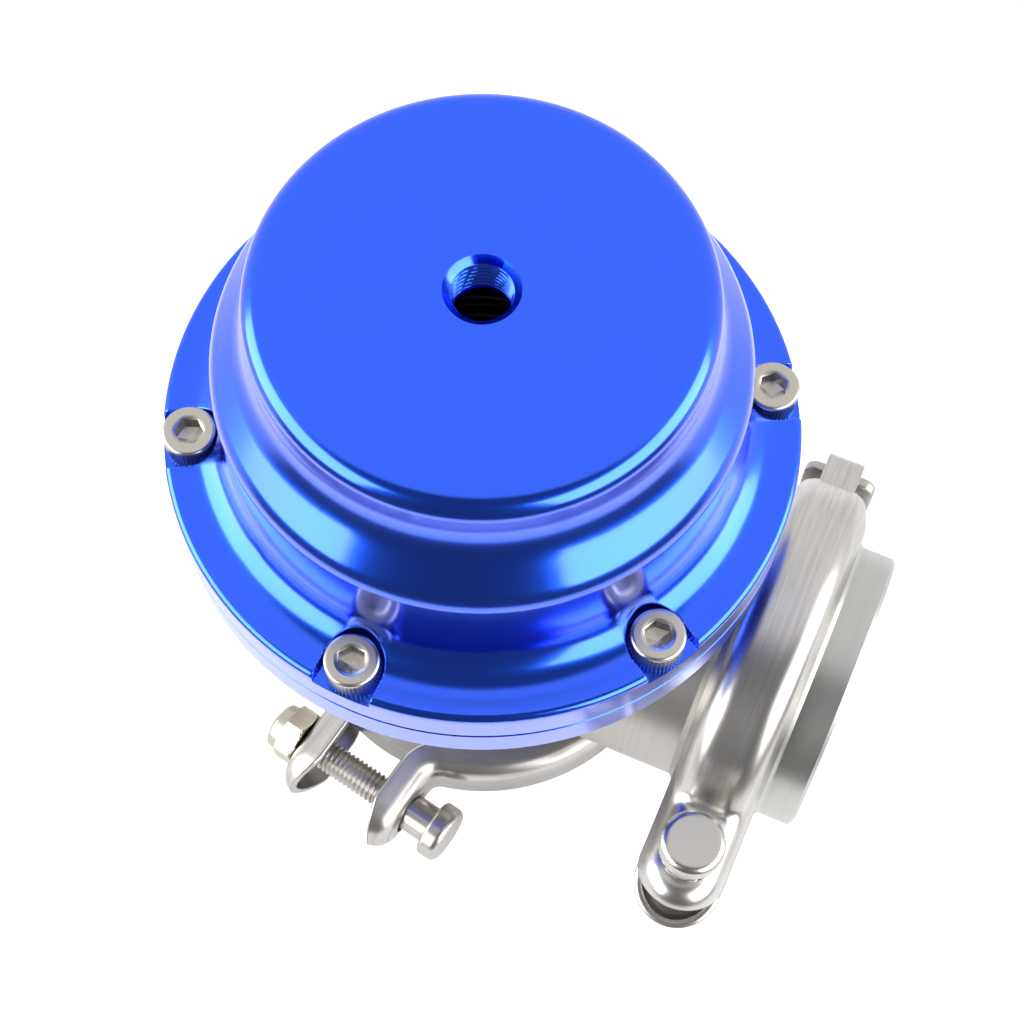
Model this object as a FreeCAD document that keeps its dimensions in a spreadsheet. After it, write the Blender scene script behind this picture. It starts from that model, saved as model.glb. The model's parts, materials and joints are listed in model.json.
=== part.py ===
import FreeCAD, Part
import math
import os
import Sketcher

# External wastegate with a spring-loaded diaphragm actuator and two band clamps.
# The valve axis is Z, the gas outlet points along +X, and the origin is the centre
# of the inlet weld flange's lower face. Lengths are in millimetres, angles in degrees.

SIZES = (
    # Actuator cap
    ("cap_rim_height", 7.7),
    ("cap_rim_round", 1.2),
    ("cap_root_round", 4.5),
    ("cap_wall_height", 28.9),
    ("cap_shoulder_round", 6.0),
    ("cap_step", 6.5),
    ("neck_height", 37.2),
    ("neck_root_round", 12.0),
    ("cap_height", 47.65),
    ("cap_top_round", 2.5),
    ("cap_wall", 3.4),
    ("cap_top_wall", 7.5),
    ("cap_inner_drop", 1.5),
    ("port_radius", 4.35),
    ("port_chamfer", 1.3),
    # Cap screws and their pockets
    ("cap_screw_count", 6),
    ("cap_screw_start", 28.5),
    ("pocket_floor", 5.2),
    ("pocket_clearance", 0.55),
    ("pocket_wall_gap", 0.5),
    ("rim_edge", 4.5),
    ("screw_radius", 2.5),
    ("screw_clearance", 0.25),
    ("thread_clearance", 0.05),
    ("screw_head_radius", 4.25),
    ("screw_head_height", 5.0),
    ("screw_head_chamfer", 0.4),
    ("hex_key_width", 4.0),
    ("hex_key_depth", 2.6),
    ("cap_screw_length", 12.0),
    ("base_screw_length", 15.0),
    # Actuator base
    ("base_rim_height", 7.43),
    ("base_edge", 0.5),
    ("base_depth", 18.0),
    ("hub_radius", 35.0),
    ("chamber_radius", 37.3),
    ("chamber_depth", 5.5),
    ("base_screw_circle", 29.5),
    ("base_screw_count", 4),
    ("base_screw_start", 45.0),
    ("base_screw_sink", 0.4),
    ("base_screw_hole_depth", 8.0),
    ("hub_round", 1.5),
    ("side_port_depth", 10.0),
    ("plug_length", 8.0),
    ("passage_radius", 1.5),
    # Diaphragm and what it moves
    ("diaphragm_thickness", 1.2),
    ("diaphragm_grip", 5.1),
    ("rim_recess_clearance", 0.2),
    ("convolution_gap", 0.4),
    ("convolution_radius", 3.4),
    ("plate_gap", 2.1),
    ("plate_thickness", 1.5),
    ("cup_clearance", 1.4),
    ("cup_wall", 1.8),
    ("cup_floor", 2.0),
    ("cup_height", 12.5),
    ("cup_round", 1.4),
    ("spring_wire_radius", 1.6),
    ("spring_side_gap", 2.0),
    ("spring_turns", 5),
    ("inner_wire_radius", 1.3),
    ("inner_mean_radius", 16.0),
    ("inner_turns", 6),
    ("stem_nut_width", 10.0),
    ("stem_nut_height", 5.0),
    # Valve, guide and seal
    ("stem_radius", 4.0),
    ("stem_thread_radius", 3.0),
    ("stem_end", 2.0),
    ("stem_bevel", 0.6),
    ("stem_clearance", 0.05),
    ("guide_radius", 7.0),
    ("guide_fit", 0.02),
    ("guide_reach", 12.0),
    ("guide_bevel", 1.0),
    ("seal_radius", 8.5),
    ("seal_height", 5.0),
    ("valve_radius", 23.0),
    ("valve_edge", 1.9),
    ("valve_neck", 9.0),
    ("valve_neck_round", 12.0),
    ("valve_lip", 0.4),
    ("seat_clearance", 0.15),
    ("throat_radius", 20.6),
    ("seat_chamfer", 1.4),
    ("seat_radius", 28.0),
    ("seat_height", 5.0),
    ("seat_fit", 0.05),
    # Valve body
    ("gasket_thickness", 1.5),
    ("inner_radius", 26.0),
    ("roof_thickness", 5.0),
    ("barrel_radius", 31.0),
    ("barrel_round", 1.5),
    ("neck_length", 9.5),
    ("top_flange_radius", 35.0),
    ("top_flange_height", 7.0),
    ("boss_radius", 11.0),
    ("boss_height", 6.0),
    ("outlet_height", 44.5),
    ("outlet_reach", 55.2),
    ("outlet_bore_radius", 22.2),
    ("branch_radius", 25.0),
    ("branch_bore_radius", 19.5),
    ("branch_clearance", 0.4),
    ("saddle_gap", 0.05),
    ("branch_relief_reach", 40.0),
    ("branch_taper_start", 42.0),
    ("outlet_tube_radius", 25.4),
    ("outlet_tail", 14.5),
    ("inlet_bore_radius", 22.0),
    ("inlet_tube_drop", 8.6),
    ("inlet_tail", 14.5),
    ("body_rise", 28.5),
    ("weld_edge", 0.6),
    # Band clamps
    ("inlet_band_radius", 36.6),
    ("outlet_band_radius", 34.0),
    ("band_half_width", 5.6),
    ("band_angle", 20.0),
    ("band_leg", 5.8),
    ("band_sheet", 1.5),
    ("band_round", 4.2),
    ("flange_depth", 6.3),
    ("flange_rim_gap", 1.0),
    ("flange_face_gap", 0.25),
    ("ear_depth", 6.2),
    ("ear_bend", 2.6),
    ("inlet_ear_end", 10.5),
    ("outlet_ear_end", 9.3),
    ("ear_hole_clearance", 1.4),
    ("inlet_ear_gap", 12.0),
    ("outlet_ear_gap", 6.0),
    ("inlet_turn", -11.0),
    ("outlet_turn", 3.0),
    ("inlet_bolt_gap", 5.4),
    ("outlet_bolt_gap", 8.0),
    ("bolt_radius", 3.0),
    ("bolt_hole_clearance", 0.3),
    ("bolt_head_radius", 5.5),
    ("bolt_head_height", 4.0),
    ("bolt_head_round", 1.4),
    ("bolt_standoff", 4.8),
    ("bolt_end", 0.6),
    ("nut_width", 10.0),
    ("nut_bevel", 30.0),
    ("nut_height", 4.2),
    ("nut_face_gap", 0.1),
    ("nut_collar_height", 2.2),
    ("nut_collar_radius", 4.7),
    ("hinge_channel_end", 20.0),
    ("hinge_taper", 12.0),
    ("hinge_tab_overlap", 2.0),
    ("tab_half_width", 3.5),
    ("tab_clearance", 0.3),
    ("curl_radius", 3.7),
    ("curl_sheet", 1.4),
    ("link_offset", 2.6),
    ("link_bar_height", 3.2),
    ("link_bar_thickness", 2.4),
    ("link_bar_place", 6.9),
    ("link_half_width", 6.7),
    ("link_corner", 2.4),
)


class Size:
    """A length that carries its value and the spreadsheet expression that drives it."""

    def __init__(self, value, text):
        self.value = float(value)
        self.text = text

    def __add__(self, other):
        other = as_size(other)
        return Size(self.value + other.value, f"({self.text} + {other.text})")

    def __radd__(self, other):
        return as_size(other) + self

    def __sub__(self, other):
        other = as_size(other)
        return Size(self.value - other.value, f"({self.text} - {other.text})")

    def __rsub__(self, other):
        return as_size(other) - self

    def __mul__(self, other):
        other = as_size(other)
        return Size(self.value * other.value, f"({self.text} * {other.text})")

    def __rmul__(self, other):
        return as_size(other) * self

    def __truediv__(self, other):
        other = as_size(other)
        return Size(self.value / other.value, f"({self.text} / {other.text})")

    def __rtruediv__(self, other):
        return as_size(other) / self

    def __neg__(self):
        return as_size(0) - self


def as_size(number):
    """Turn a plain number into a Size, and leave a Size as it is."""
    if isinstance(number, Size):
        return number
    return Size(number, f"{float(number):.6f}")


def root(square):
    return Size(math.sqrt(square.value), f"sqrt({square.text})")


def sine(angle):
    return Size(math.sin(math.radians(angle.value)), f"sin({angle.text})")


def cosine(angle):
    return Size(math.cos(math.radians(angle.value)), f"cos({angle.text})")


def tangent(angle):
    return Size(math.tan(math.radians(angle.value)), f"tan({angle.text})")


def angle_of_sine(ratio):
    return Size(math.degrees(math.asin(ratio.value)), f"(asin({ratio.text}) / 1 deg)")


doc = FreeCAD.newDocument("wastegate")
sheet = doc.addObject("Spreadsheet::Sheet", "Sizes")
named = {}
for row, (alias, number) in enumerate(SIZES, start=1):
    sheet.set(f"A{row}", alias)
    sheet.set(f"B{row}", str(number))
    sheet.setAlias(f"B{row}", alias)
    named[alias] = Size(number, f"Sizes.{alias}")
doc.recompute()


def size(alias):
    return named[alias]


def bind(item, **links):
    """Tie properties of an object to sizes; a double underscore in a name stands for a dot."""
    for name, link in links.items():
        item.setExpression(name.replace("__", "."), as_size(link).text)


def seat(item, x=0, y=0, z=0, rotation=None):
    """Place an object, with its position tied to sizes."""
    spot = [as_size(part) for part in (x, y, z)]
    turn = rotation or FreeCAD.Rotation()
    item.Placement = FreeCAD.Placement(FreeCAD.Vector(*[part.value for part in spot]), turn)
    bind(item, Placement__Base__x=spot[0], Placement__Base__y=spot[1], Placement__Base__z=spot[2])
    return item


class Arc:
    """A round stretch of an outline about a centre, drawn the way round that is given."""

    def __init__(self, across, up, radius, clockwise=False):
        self.across = as_size(across)
        self.up = as_size(up)
        self.radius = as_size(radius)
        self.clockwise = clockwise


def corner(across, up, hold="both"):
    """A corner of an outline; hold says which of its coordinates are bound."""
    return (as_size(across), as_size(up), hold)


def hold_point(sketch, geometry, end, across, up, hold):
    """Tie a point of a sketch to its distances from the sketch's origin."""
    for way, distance in (("X", across), ("Y", up)):
        if hold not in ("both", way):
            continue
        if abs(distance.value) < 1e-9:
            axis = -2 if way == "X" else -1
            sketch.addConstraint(Sketcher.Constraint("PointOnObject", geometry, end, axis))
            continue
        ends = (-1, 1, geometry, end) if distance.value > 0 else (geometry, end, -1, 1)
        length = distance if distance.value > 0 else -distance
        rule = sketch.addConstraint(Sketcher.Constraint(f"Distance{way}", *ends, length.value))
        sketch.setExpression(f"Constraints[{rule}]", length.text)


def outline(body, name, plane, steps, shift=0, lift=0, along=0):
    """A closed sketch through corners joined by lines or arcs, on one of the body's own planes.

    The sketch's origin is moved by along and lift in its plane, and by shift out of it."""
    sketch = body.newObject("Sketcher::SketchObject", name)
    support = [item for item in body.Origin.OriginFeatures if item.Role == plane][0]
    sketch.AttachmentSupport = [(support, "")]
    sketch.MapMode = "FlatFace"
    offset = (as_size(along), as_size(lift), as_size(shift))
    sketch.AttachmentOffset = FreeCAD.Placement(
        FreeCAD.Vector(*[part.value for part in offset]), FreeCAD.Rotation())
    bind(sketch, AttachmentOffset__Base__x=offset[0], AttachmentOffset__Base__y=offset[1],
         AttachmentOffset__Base__z=offset[2])
    corners = [step for step in steps if not isinstance(step, Arc)]
    arcs = {}
    count = 0
    for step in steps:
        if isinstance(step, Arc):
            arcs[count - 1] = step
        else:
            count += 1
    ends = []
    for place in range(count):
        here = corners[place]
        there = corners[(place + 1) % count]
        first = FreeCAD.Vector(here[0].value, here[1].value, 0)
        last = FreeCAD.Vector(there[0].value, there[1].value, 0)
        if place in arcs:
            arc = arcs[place]
            centre = FreeCAD.Vector(arc.across.value, arc.up.value, 0)
            circle = Part.Circle(centre, FreeCAD.Vector(0, 0, 1), arc.radius.value)
            low, high = (last, first) if arc.clockwise else (first, last)
            curve = Part.ArcOfCircle(circle, circle.parameter(low), circle.parameter(high))
            ends.append((2, 1) if arc.clockwise else (1, 2))
        else:
            curve = Part.LineSegment(first, last)
            ends.append((1, 2))
        sketch.addGeometry(curve, False)
    for place in range(count):
        after = (place + 1) % count
        sketch.addConstraint(
            Sketcher.Constraint("Coincident", place, ends[place][1], after, ends[after][0]))
    for place, arc in arcs.items():
        hold_point(sketch, place, 3, arc.across, arc.up, "both")
        rule = sketch.addConstraint(Sketcher.Constraint("Radius", place, arc.radius.value))
        sketch.setExpression(f"Constraints[{rule}]", arc.radius.text)
    for place, (across, up, hold) in enumerate(corners):
        hold_point(sketch, place, ends[place][0], across, up, hold)
    return sketch


def ring(body, name, plane, across, up, radius, shift=0):
    """A sketch of one circle."""
    sketch = body.newObject("Sketcher::SketchObject", name)
    support = [item for item in body.Origin.OriginFeatures if item.Role == plane][0]
    sketch.AttachmentSupport = [(support, "")]
    sketch.MapMode = "FlatFace"
    offset = as_size(shift)
    sketch.AttachmentOffset = FreeCAD.Placement(
        FreeCAD.Vector(0, 0, offset.value), FreeCAD.Rotation())
    bind(sketch, AttachmentOffset__Base__z=offset)
    across, up, radius = as_size(across), as_size(up), as_size(radius)
    centre = FreeCAD.Vector(across.value, up.value, 0)
    sketch.addGeometry(Part.Circle(centre, FreeCAD.Vector(0, 0, 1), radius.value), False)
    rule = sketch.addConstraint(Sketcher.Constraint("Radius", 0, radius.value))
    sketch.setExpression(f"Constraints[{rule}]", radius.text)
    hold_point(sketch, 0, 3, across, up, "both")
    return sketch


def new_body(name):
    body = doc.addObject("PartDesign::Body", name)
    body.Label = name
    return body


def turn_about(body, name, sketch, axis="V_Axis", kind="Revolution", angle=360, reverse=False):
    """Revolve a sketch about its own vertical or horizontal axis, through an angle."""
    feature = body.newObject(f"PartDesign::{kind}", name)
    feature.Profile = sketch
    feature.ReferenceAxis = (sketch, [axis])
    bind(feature, Angle=angle)
    feature.Reversed = reverse
    doc.recompute()
    return feature


def pad(body, name, sketch, length, both_sides=False):
    feature = body.newObject("PartDesign::Pad", name)
    feature.Profile = sketch
    feature.Length = as_size(length).value
    bind(feature, Length=length)
    feature.Midplane = both_sides
    doc.recompute()
    return feature


def pocket(body, name, sketch, length, reverse=False):
    """Cut a sketch into the body and check that something was cut."""
    before = body.Shape.Volume
    feature = body.newObject("PartDesign::Pocket", name)
    feature.Profile = sketch
    feature.Length = as_size(length).value
    bind(feature, Length=length)
    feature.Reversed = reverse
    doc.recompute()
    if body.Shape.Volume > before - 1e-3:
        raise RuntimeError(f"{name} cut nothing")
    return feature


def polar(body, name, feature, count):
    """Repeat a feature round the body's vertical axis."""
    pattern = body.newObject("PartDesign::PolarPattern", name)
    pattern.Originals = [feature]
    axis = [item for item in body.Origin.OriginFeatures if item.Role == "Z_Axis"][0]
    pattern.Axis = (axis, [""])
    pattern.Angle = 360
    pattern.Occurrences = int(count.value)
    bind(pattern, Occurrences=count)
    body.Tip = pattern
    doc.recompute()
    return pattern


def edges_where(feature, test):
    """Names of the edges for which the test holds."""
    return [f"Edge{place}" for place, edge in enumerate(feature.Shape.Edges, 1) if test(edge)]


def round_edges(body, name, feature, names, radius, kind="Fillet"):
    """Round or bevel edges of the body by name."""
    if not names:
        raise RuntimeError(f"{name} found no edge")
    cut = body.newObject(f"PartDesign::{kind}", name)
    cut.Base = (feature, names)
    target = "Radius" if kind == "Fillet" else "Size"
    setattr(cut, target, as_size(radius).value)
    bind(cut, **{target: radius})
    doc.recompute()
    return cut


def circle_at(radius, height):
    """A test for round edges about the body's axis, with the given radius and height."""
    radius, height = as_size(radius).value, as_size(height).value

    def test(edge):
        curve = edge.Curve
        if not isinstance(curve, Part.Circle):
            return False
        centre = curve.Center
        on_axis = math.hypot(centre.x, centre.y) < 1e-3
        return on_axis and abs(curve.Radius - radius) < 1e-3 and abs(centre.z - height) < 1e-3

    return test


def turned(name, points, rounds=()):
    """A body revolved about Z from (radius, height) corners, with its round edges softened."""
    body = new_body(name)
    sketch = outline(body, f"{name}_profile", "XZ_Plane", [corner(*point) for point in points])
    feature = turn_about(body, f"{name}_turned", sketch)
    for number, (kind, radius, height, amount) in enumerate(rounds, 1):
        names = edges_where(feature, circle_at(radius, height))
        feature = round_edges(body, f"{name}_edge_{number}", feature, names, amount, kind)
    return body


def cylinder(name, radius, height, x=0, y=0, z=0, rotation=None):
    item = doc.addObject("Part::Cylinder", name)
    bind(item, Radius=radius, Height=height)
    return seat(item, x, y, z, rotation)


def hexagon(name, width, height, x=0, y=0, z=0, rotation=None):
    """A hexagonal prism with its size given across the flats."""
    item = doc.addObject("Part::Prism", name)
    item.Polygon = 6
    bind(item, Circumradius=width / math.sqrt(3), Height=height)
    return seat(item, x, y, z, rotation)


def fuse(name, items):
    item = doc.addObject("Part::MultiFuse", name)
    item.Shapes = items
    return item


def cut(name, base, tool):
    item = doc.addObject("Part::Cut", name)
    item.Base = base
    item.Tool = tool
    return item


def group(name, items):
    """Several separate solids of one node."""
    item = doc.addObject("Part::Compound", name)
    item.Links = items
    item.Label = name
    return item


# Heights that several pieces share
inlet_plane = size("inlet_tail")
body_top = size("outlet_height") + size("body_rise")
base_bottom = body_top + size("gasket_thickness")
seam = base_bottom + size("base_depth")
base_rim_bottom = seam - size("base_rim_height")
chamber_floor = seam - size("chamber_depth")
seal_seat = chamber_floor - size("seal_height")
stem_shoulder = seam - size("diaphragm_thickness") - size("plate_thickness")
cup_top_face = seam + size("cup_floor")
spring_ceiling = seam + size("cap_height") - size("cap_top_wall")
roof = body_top - size("roof_thickness")
seat_top = inlet_plane + size("seat_height")
outlet_plane = size("outlet_reach")
stem_hole = size("stem_thread_radius") + size("thread_clearance")
screw_bore = size("screw_radius") + size("thread_clearance")
guide_hole = size("guide_radius") + size("guide_fit")
stem_bore = size("stem_radius") + size("stem_clearance")
port_height = base_bottom + (base_rim_bottom - base_bottom) / 2
base_screw_seat = chamber_floor - size("screw_head_height") - size("base_screw_sink")

# Radii that follow from the chamber's, out to the rim and in to the springs
cap_wall_radius = size("chamber_radius") + size("cap_wall")
neck_radius = cap_wall_radius - size("cap_step")
neck_bore = neck_radius - size("cap_wall")
pocket_radius = size("screw_head_radius") + size("pocket_clearance")
cap_screw_circle = cap_wall_radius + size("pocket_wall_gap") + pocket_radius
rim_radius = cap_screw_circle + size("rim_edge")
diaphragm_rim = size("chamber_radius") + size("diaphragm_grip")
convolution_middle = size("chamber_radius") - size("convolution_gap") - size("convolution_radius")
plate_radius = convolution_middle - size("convolution_radius") - size("plate_gap")
cup_radius = neck_bore - size("cup_clearance")
spring_radius = cup_radius - size("cup_wall") - size("spring_side_gap") - size("spring_wire_radius")


def top_cap():
    """Stepped dome that holds the springs, with a threaded port in the middle of its top."""
    wall = cap_wall_radius
    neck = neck_radius
    top = seam + size("cap_height")
    inner_wall = size("chamber_radius")
    inner_neck = neck_bore
    rim_top = seam + size("cap_rim_height")
    shoulder = seam + size("cap_wall_height")
    neck_root = seam + size("neck_height")
    inner_drop = size("cap_inner_drop")
    body = turned("top_cap", (
        (inner_wall, seam),
        (rim_radius, seam),
        (rim_radius, rim_top),
        (wall, rim_top),
        (wall, shoulder),
        (neck, neck_root),
        (neck, top),
        (size("port_radius"), top),
        (size("port_radius"), spring_ceiling),
        (inner_neck, spring_ceiling),
        (inner_neck, neck_root - inner_drop),
        (inner_wall, shoulder - inner_drop),
    ), (
        ("Fillet", wall, rim_top, size("cap_root_round")),
        ("Fillet", wall, shoulder, size("cap_shoulder_round")),
        ("Fillet", neck, neck_root, size("neck_root_round")),
        ("Fillet", neck, top, size("cap_top_round")),
        ("Fillet", rim_radius, rim_top, size("cap_rim_round")),
        ("Chamfer", size("port_radius"), top, size("port_chamfer")),
    ))
    radius = pocket_radius
    along = cap_screw_circle
    floor = seam + size("pocket_floor")
    sketch = outline(body, "cap_pocket_outline", "XY_Plane", [
        corner(along, -radius, "X"),
        corner(rim_radius + radius, -radius),
        corner(rim_radius + radius, radius),
        corner(along, radius, "X"),
        Arc(along, 0, radius),
    ], shift=floor)
    height = size("cap_rim_height") + size("cap_root_round") - size("pocket_floor")
    feature = pocket(body, "cap_pocket", sketch, height, reverse=True)
    polar(body, "cap_pockets", feature, size("cap_screw_count"))
    sketch = ring(body, "cap_screw_hole_outline", "XY_Plane", along, 0,
                  size("screw_radius") + size("screw_clearance"), shift=floor)
    feature = pocket(body, "cap_screw_hole", sketch, size("pocket_floor"))
    polar(body, "cap_screw_holes", feature, size("cap_screw_count"))
    start = size("cap_screw_start").value
    seat(body, rotation=FreeCAD.Rotation(FreeCAD.Vector(0, 0, 1), start))
    return body


def socket_screw(name, length, x, y, seat_height):
    """A socket head screw, head up, with a hexagonal recess."""
    head_top = seat_height + size("screw_head_height")
    head = cylinder(f"{name}_head", size("screw_head_radius"), size("screw_head_height"),
                    x, y, seat_height)
    shank = cylinder(f"{name}_shank", size("screw_radius"), length, x, y, seat_height - length)
    key = hexagon(f"{name}_key", size("hex_key_width"), size("hex_key_depth"),
                  x, y, head_top - size("hex_key_depth"))
    blank = fuse(f"{name}_blank", [head, shank])
    screw = cut(f"{name}_socketed", blank, key)
    doc.recompute()
    bevel = doc.addObject("Part::Chamfer", f"{name}_bevelled")
    bevel.Base = screw
    bevel_size = size("screw_head_chamfer").value
    chosen = []
    for number, edge in enumerate(screw.Shape.Edges, 1):
        curve = edge.Curve
        if isinstance(curve, Part.Circle) and abs(curve.Center.z - head_top.value) < 1e-6:
            chosen.append((number, bevel_size, bevel_size))
    bevel.Edges = chosen
    return bevel


def screw_ring(name, count, circle, start, length, seat_height):
    """Equal screws on a circle, as separate solids of one node."""
    screws = []
    for number in range(int(count.value)):
        angle = start + 360.0 * number / count
        screws.append(socket_screw(f"{name}_{number + 1}", length, circle * cosine(angle),
                                   circle * sine(angle), seat_height))
    return group(name, screws)


def hole_ring(body, name, radius, circle, start, count, top, depth):
    """Equal round holes on a circle, sunk from a height."""
    sketch = ring(body, f"{name}_outline", "XY_Plane", circle * cosine(start),
                  circle * sine(start), radius, shift=top)
    feature = pocket(body, name, sketch, depth)
    polar(body, f"{name}_ring", feature, count)


def actuator_base():
    """Disc and hub below the diaphragm, with the pressure chamber and the side ports."""
    recess = diaphragm_rim + size("rim_recess_clearance")
    recess_floor = seam - size("diaphragm_thickness")
    seal_hole = size("seal_radius") + size("guide_fit")
    hub = size("hub_radius")
    body = turned("actuator_base", (
        (guide_hole, base_bottom),
        (hub, base_bottom),
        (hub, base_rim_bottom),
        (rim_radius, base_rim_bottom),
        (rim_radius, seam),
        (recess, seam),
        (recess, recess_floor),
        (size("chamber_radius"), recess_floor),
        (size("chamber_radius"), chamber_floor),
        (seal_hole, chamber_floor),
        (seal_hole, seal_seat),
        (guide_hole, seal_seat),
    ), (
        ("Chamfer", rim_radius, seam, size("base_edge")),
        ("Chamfer", rim_radius, base_rim_bottom, size("base_edge")),
        ("Fillet", hub, base_rim_bottom, size("hub_round")),
    ))
    hole_ring(body, "cap_thread", screw_bore, cap_screw_circle, size("cap_screw_start"),
              size("cap_screw_count"), seam, size("base_rim_height"))
    hole_ring(body, "base_screw_sink", pocket_radius,
              size("base_screw_circle"), size("base_screw_start"), size("base_screw_count"),
              chamber_floor, chamber_floor - base_screw_seat)
    hole_ring(body, "base_screw_hole", size("screw_radius") + size("screw_clearance"),
              size("base_screw_circle"), size("base_screw_start"), size("base_screw_count"),
              base_screw_seat, base_screw_seat - base_bottom)
    inner = hub - size("side_port_depth") + size("passage_radius") * 2
    for name, plane, across, up in (("signal", "YZ_Plane", -inner, 0), ("spare", "XZ_Plane", 0, inner)):
        sketch = ring(body, f"{name}_port_outline", plane, 0, port_height, size("port_radius"),
                      shift=-hub - size("hub_round"))
        pocket(body, f"{name}_port", sketch, size("side_port_depth") + size("hub_round"), reverse=True)
        sketch = ring(body, f"{name}_passage_outline", "XY_Plane", across, up,
                      size("passage_radius"), shift=chamber_floor)
        pocket(body, f"{name}_passage", sketch, chamber_floor - port_height)
    return body


def port_plug():
    """Taper plug with a hexagonal recess, which closes the spare side port."""
    length = size("plug_length")
    outward = FreeCAD.Rotation(FreeCAD.Vector(1, 0, 0), -90)
    face = size("hub_radius")
    blank = cylinder("plug_blank", size("port_radius") - size("thread_clearance"), length,
                     0, face - length, port_height, outward)
    key = hexagon("plug_key", size("hex_key_width"), size("hex_key_depth"),
                  0, face - size("hex_key_depth"), port_height, outward)
    plug = cut("port_plug", blank, key)
    plug.Label = "port_plug"
    return plug


def heat_gasket():
    """Ring that keeps the heat of the steel body from the actuator base."""
    thickness = size("gasket_thickness")
    disc = cylinder("gasket_disc", size("hub_radius"), thickness, z=body_top)
    holes = [cylinder("gasket_bore", guide_hole + size("screw_clearance"), thickness, z=body_top)]
    for number in range(int(size("base_screw_count").value)):
        angle = size("base_screw_start") + 360.0 * number / size("base_screw_count")
        holes.append(cylinder(f"gasket_hole_{number + 1}", size("screw_radius") + size("screw_clearance"),
                              thickness, size("base_screw_circle") * cosine(angle),
                              size("base_screw_circle") * sine(angle), body_top))
    gasket = cut("heat_gasket", disc, fuse("gasket_holes", holes))
    gasket.Label = "heat_gasket"
    return gasket


def diaphragm():
    """Rubber disc with one rolled convolution, clamped at its rim between cap and base."""
    under = seam - size("diaphragm_thickness")
    middle = convolution_middle
    outer = size("convolution_radius")
    inner = outer - size("diaphragm_thickness")
    reach = root(outer * outer - size("diaphragm_thickness") * size("diaphragm_thickness"))
    body = new_body("diaphragm")
    sketch = outline(body, "diaphragm_profile", "XZ_Plane", [
        corner(stem_hole, under),
        corner(middle - inner, under, "Y"),
        Arc(middle, under, inner, clockwise=True),
        corner(middle + inner, under, "Y"),
        corner(diaphragm_rim, under),
        corner(diaphragm_rim, seam),
        corner(middle + reach, seam, "Y"),
        Arc(middle, under, outer),
        corner(middle - reach, seam, "Y"),
        corner(stem_hole, seam),
    ])
    turn_about(body, "diaphragm_turned", sketch)
    return body


def diaphragm_plate():
    """Washer that holds the diaphragm against the spring cup."""
    top = stem_shoulder + size("plate_thickness")
    return turned("diaphragm_plate", (
        (stem_hole, stem_shoulder), (plate_radius, stem_shoulder),
        (plate_radius, top), (stem_hole, top)),
        (("Fillet", plate_radius, stem_shoulder, size("plate_thickness") / 2),))


def spring_cup():
    """Cup that carries the springs and rides on the diaphragm."""
    outer = cup_radius
    inner = outer - size("cup_wall")
    top = seam + size("cup_height")
    return turned("spring_cup", (
        (stem_hole, seam), (outer, seam), (outer, top), (inner, top),
        (inner, cup_top_face), (stem_hole, cup_top_face)),
        (("Fillet", outer, seam, size("cup_round")),))


def stem_nut():
    """Nut that pulls cup, diaphragm and plate against the stem's shoulder."""
    blank = hexagon("stem_nut_blank", size("stem_nut_width"), size("stem_nut_height"), z=cup_top_face)
    bore = cylinder("stem_nut_bore", stem_hole, size("stem_nut_height"), z=cup_top_face)
    nut = cut("stem_nut", blank, bore)
    nut.Label = "stem_nut"
    return nut


def coil_spring(name, mean_radius, wire_radius, turns):
    """Round-wire spring between the cup's floor and the cap's ceiling."""
    low = cup_top_face + wire_radius
    height = spring_ceiling - wire_radius - low
    body = new_body(name)
    sketch = ring(body, f"{name}_wire", "XZ_Plane", mean_radius, 0, wire_radius)
    coil = body.newObject("PartDesign::AdditiveHelix", f"{name}_coil")
    coil.Profile = sketch
    coil.ReferenceAxis = (sketch, ["V_Axis"])
    coil.Mode = "pitch-height-angle"
    bind(coil, Pitch=height / turns, Height=height)
    doc.recompute()
    return seat(body, z=low)


def valve_guide():
    """Bush in the body's roof that the stem slides in."""
    low = roof - size("guide_reach")
    return turned("valve_guide", (
        (stem_bore, low), (size("guide_radius"), low),
        (size("guide_radius"), seal_seat), (stem_bore, seal_seat)),
        (("Chamfer", size("guide_radius"), low, size("guide_bevel")),))


def stem_seal():
    """Seal ring round the stem under the pressure chamber."""
    return turned("stem_seal", (
        (stem_bore, seal_seat), (size("seal_radius"), seal_seat),
        (size("seal_radius"), chamber_floor), (stem_bore, chamber_floor)))


def valve():
    """Poppet with a cone face, a flared neck and a stem that reaches the diaphragm."""
    gap = size("seat_clearance") * math.sqrt(2)
    throat = size("throat_radius")
    face = seat_top - size("seat_chamfer") + gap
    rim = face + size("valve_radius") - throat
    edge = rim + size("valve_edge")
    neck = edge + size("valve_neck")
    end = cup_top_face + size("stem_nut_height") + size("stem_end")
    thread = size("stem_thread_radius")
    return turned("valve", (
        (0, face - size("valve_lip")),
        (throat - size("valve_lip"), face - size("valve_lip")),
        (size("valve_radius"), rim),
        (size("valve_radius"), edge),
        (size("stem_radius"), neck),
        (size("stem_radius"), stem_shoulder),
        (thread, stem_shoulder),
        (thread, end),
        (0, end)),
        (("Fillet", size("stem_radius"), neck, size("valve_neck_round")),
         ("Chamfer", thread, end, size("stem_bevel"))))


def valve_seat():
    """Hard ring between the body and the inlet flange, which the valve closes on."""
    outer = size("seat_radius")
    throat = size("throat_radius")
    return turned("valve_seat", (
        (throat, inlet_plane), (outer, inlet_plane), (outer, seat_top), (throat, seat_top)),
        (("Chamfer", throat, seat_top, size("seat_chamfer")),))


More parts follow.
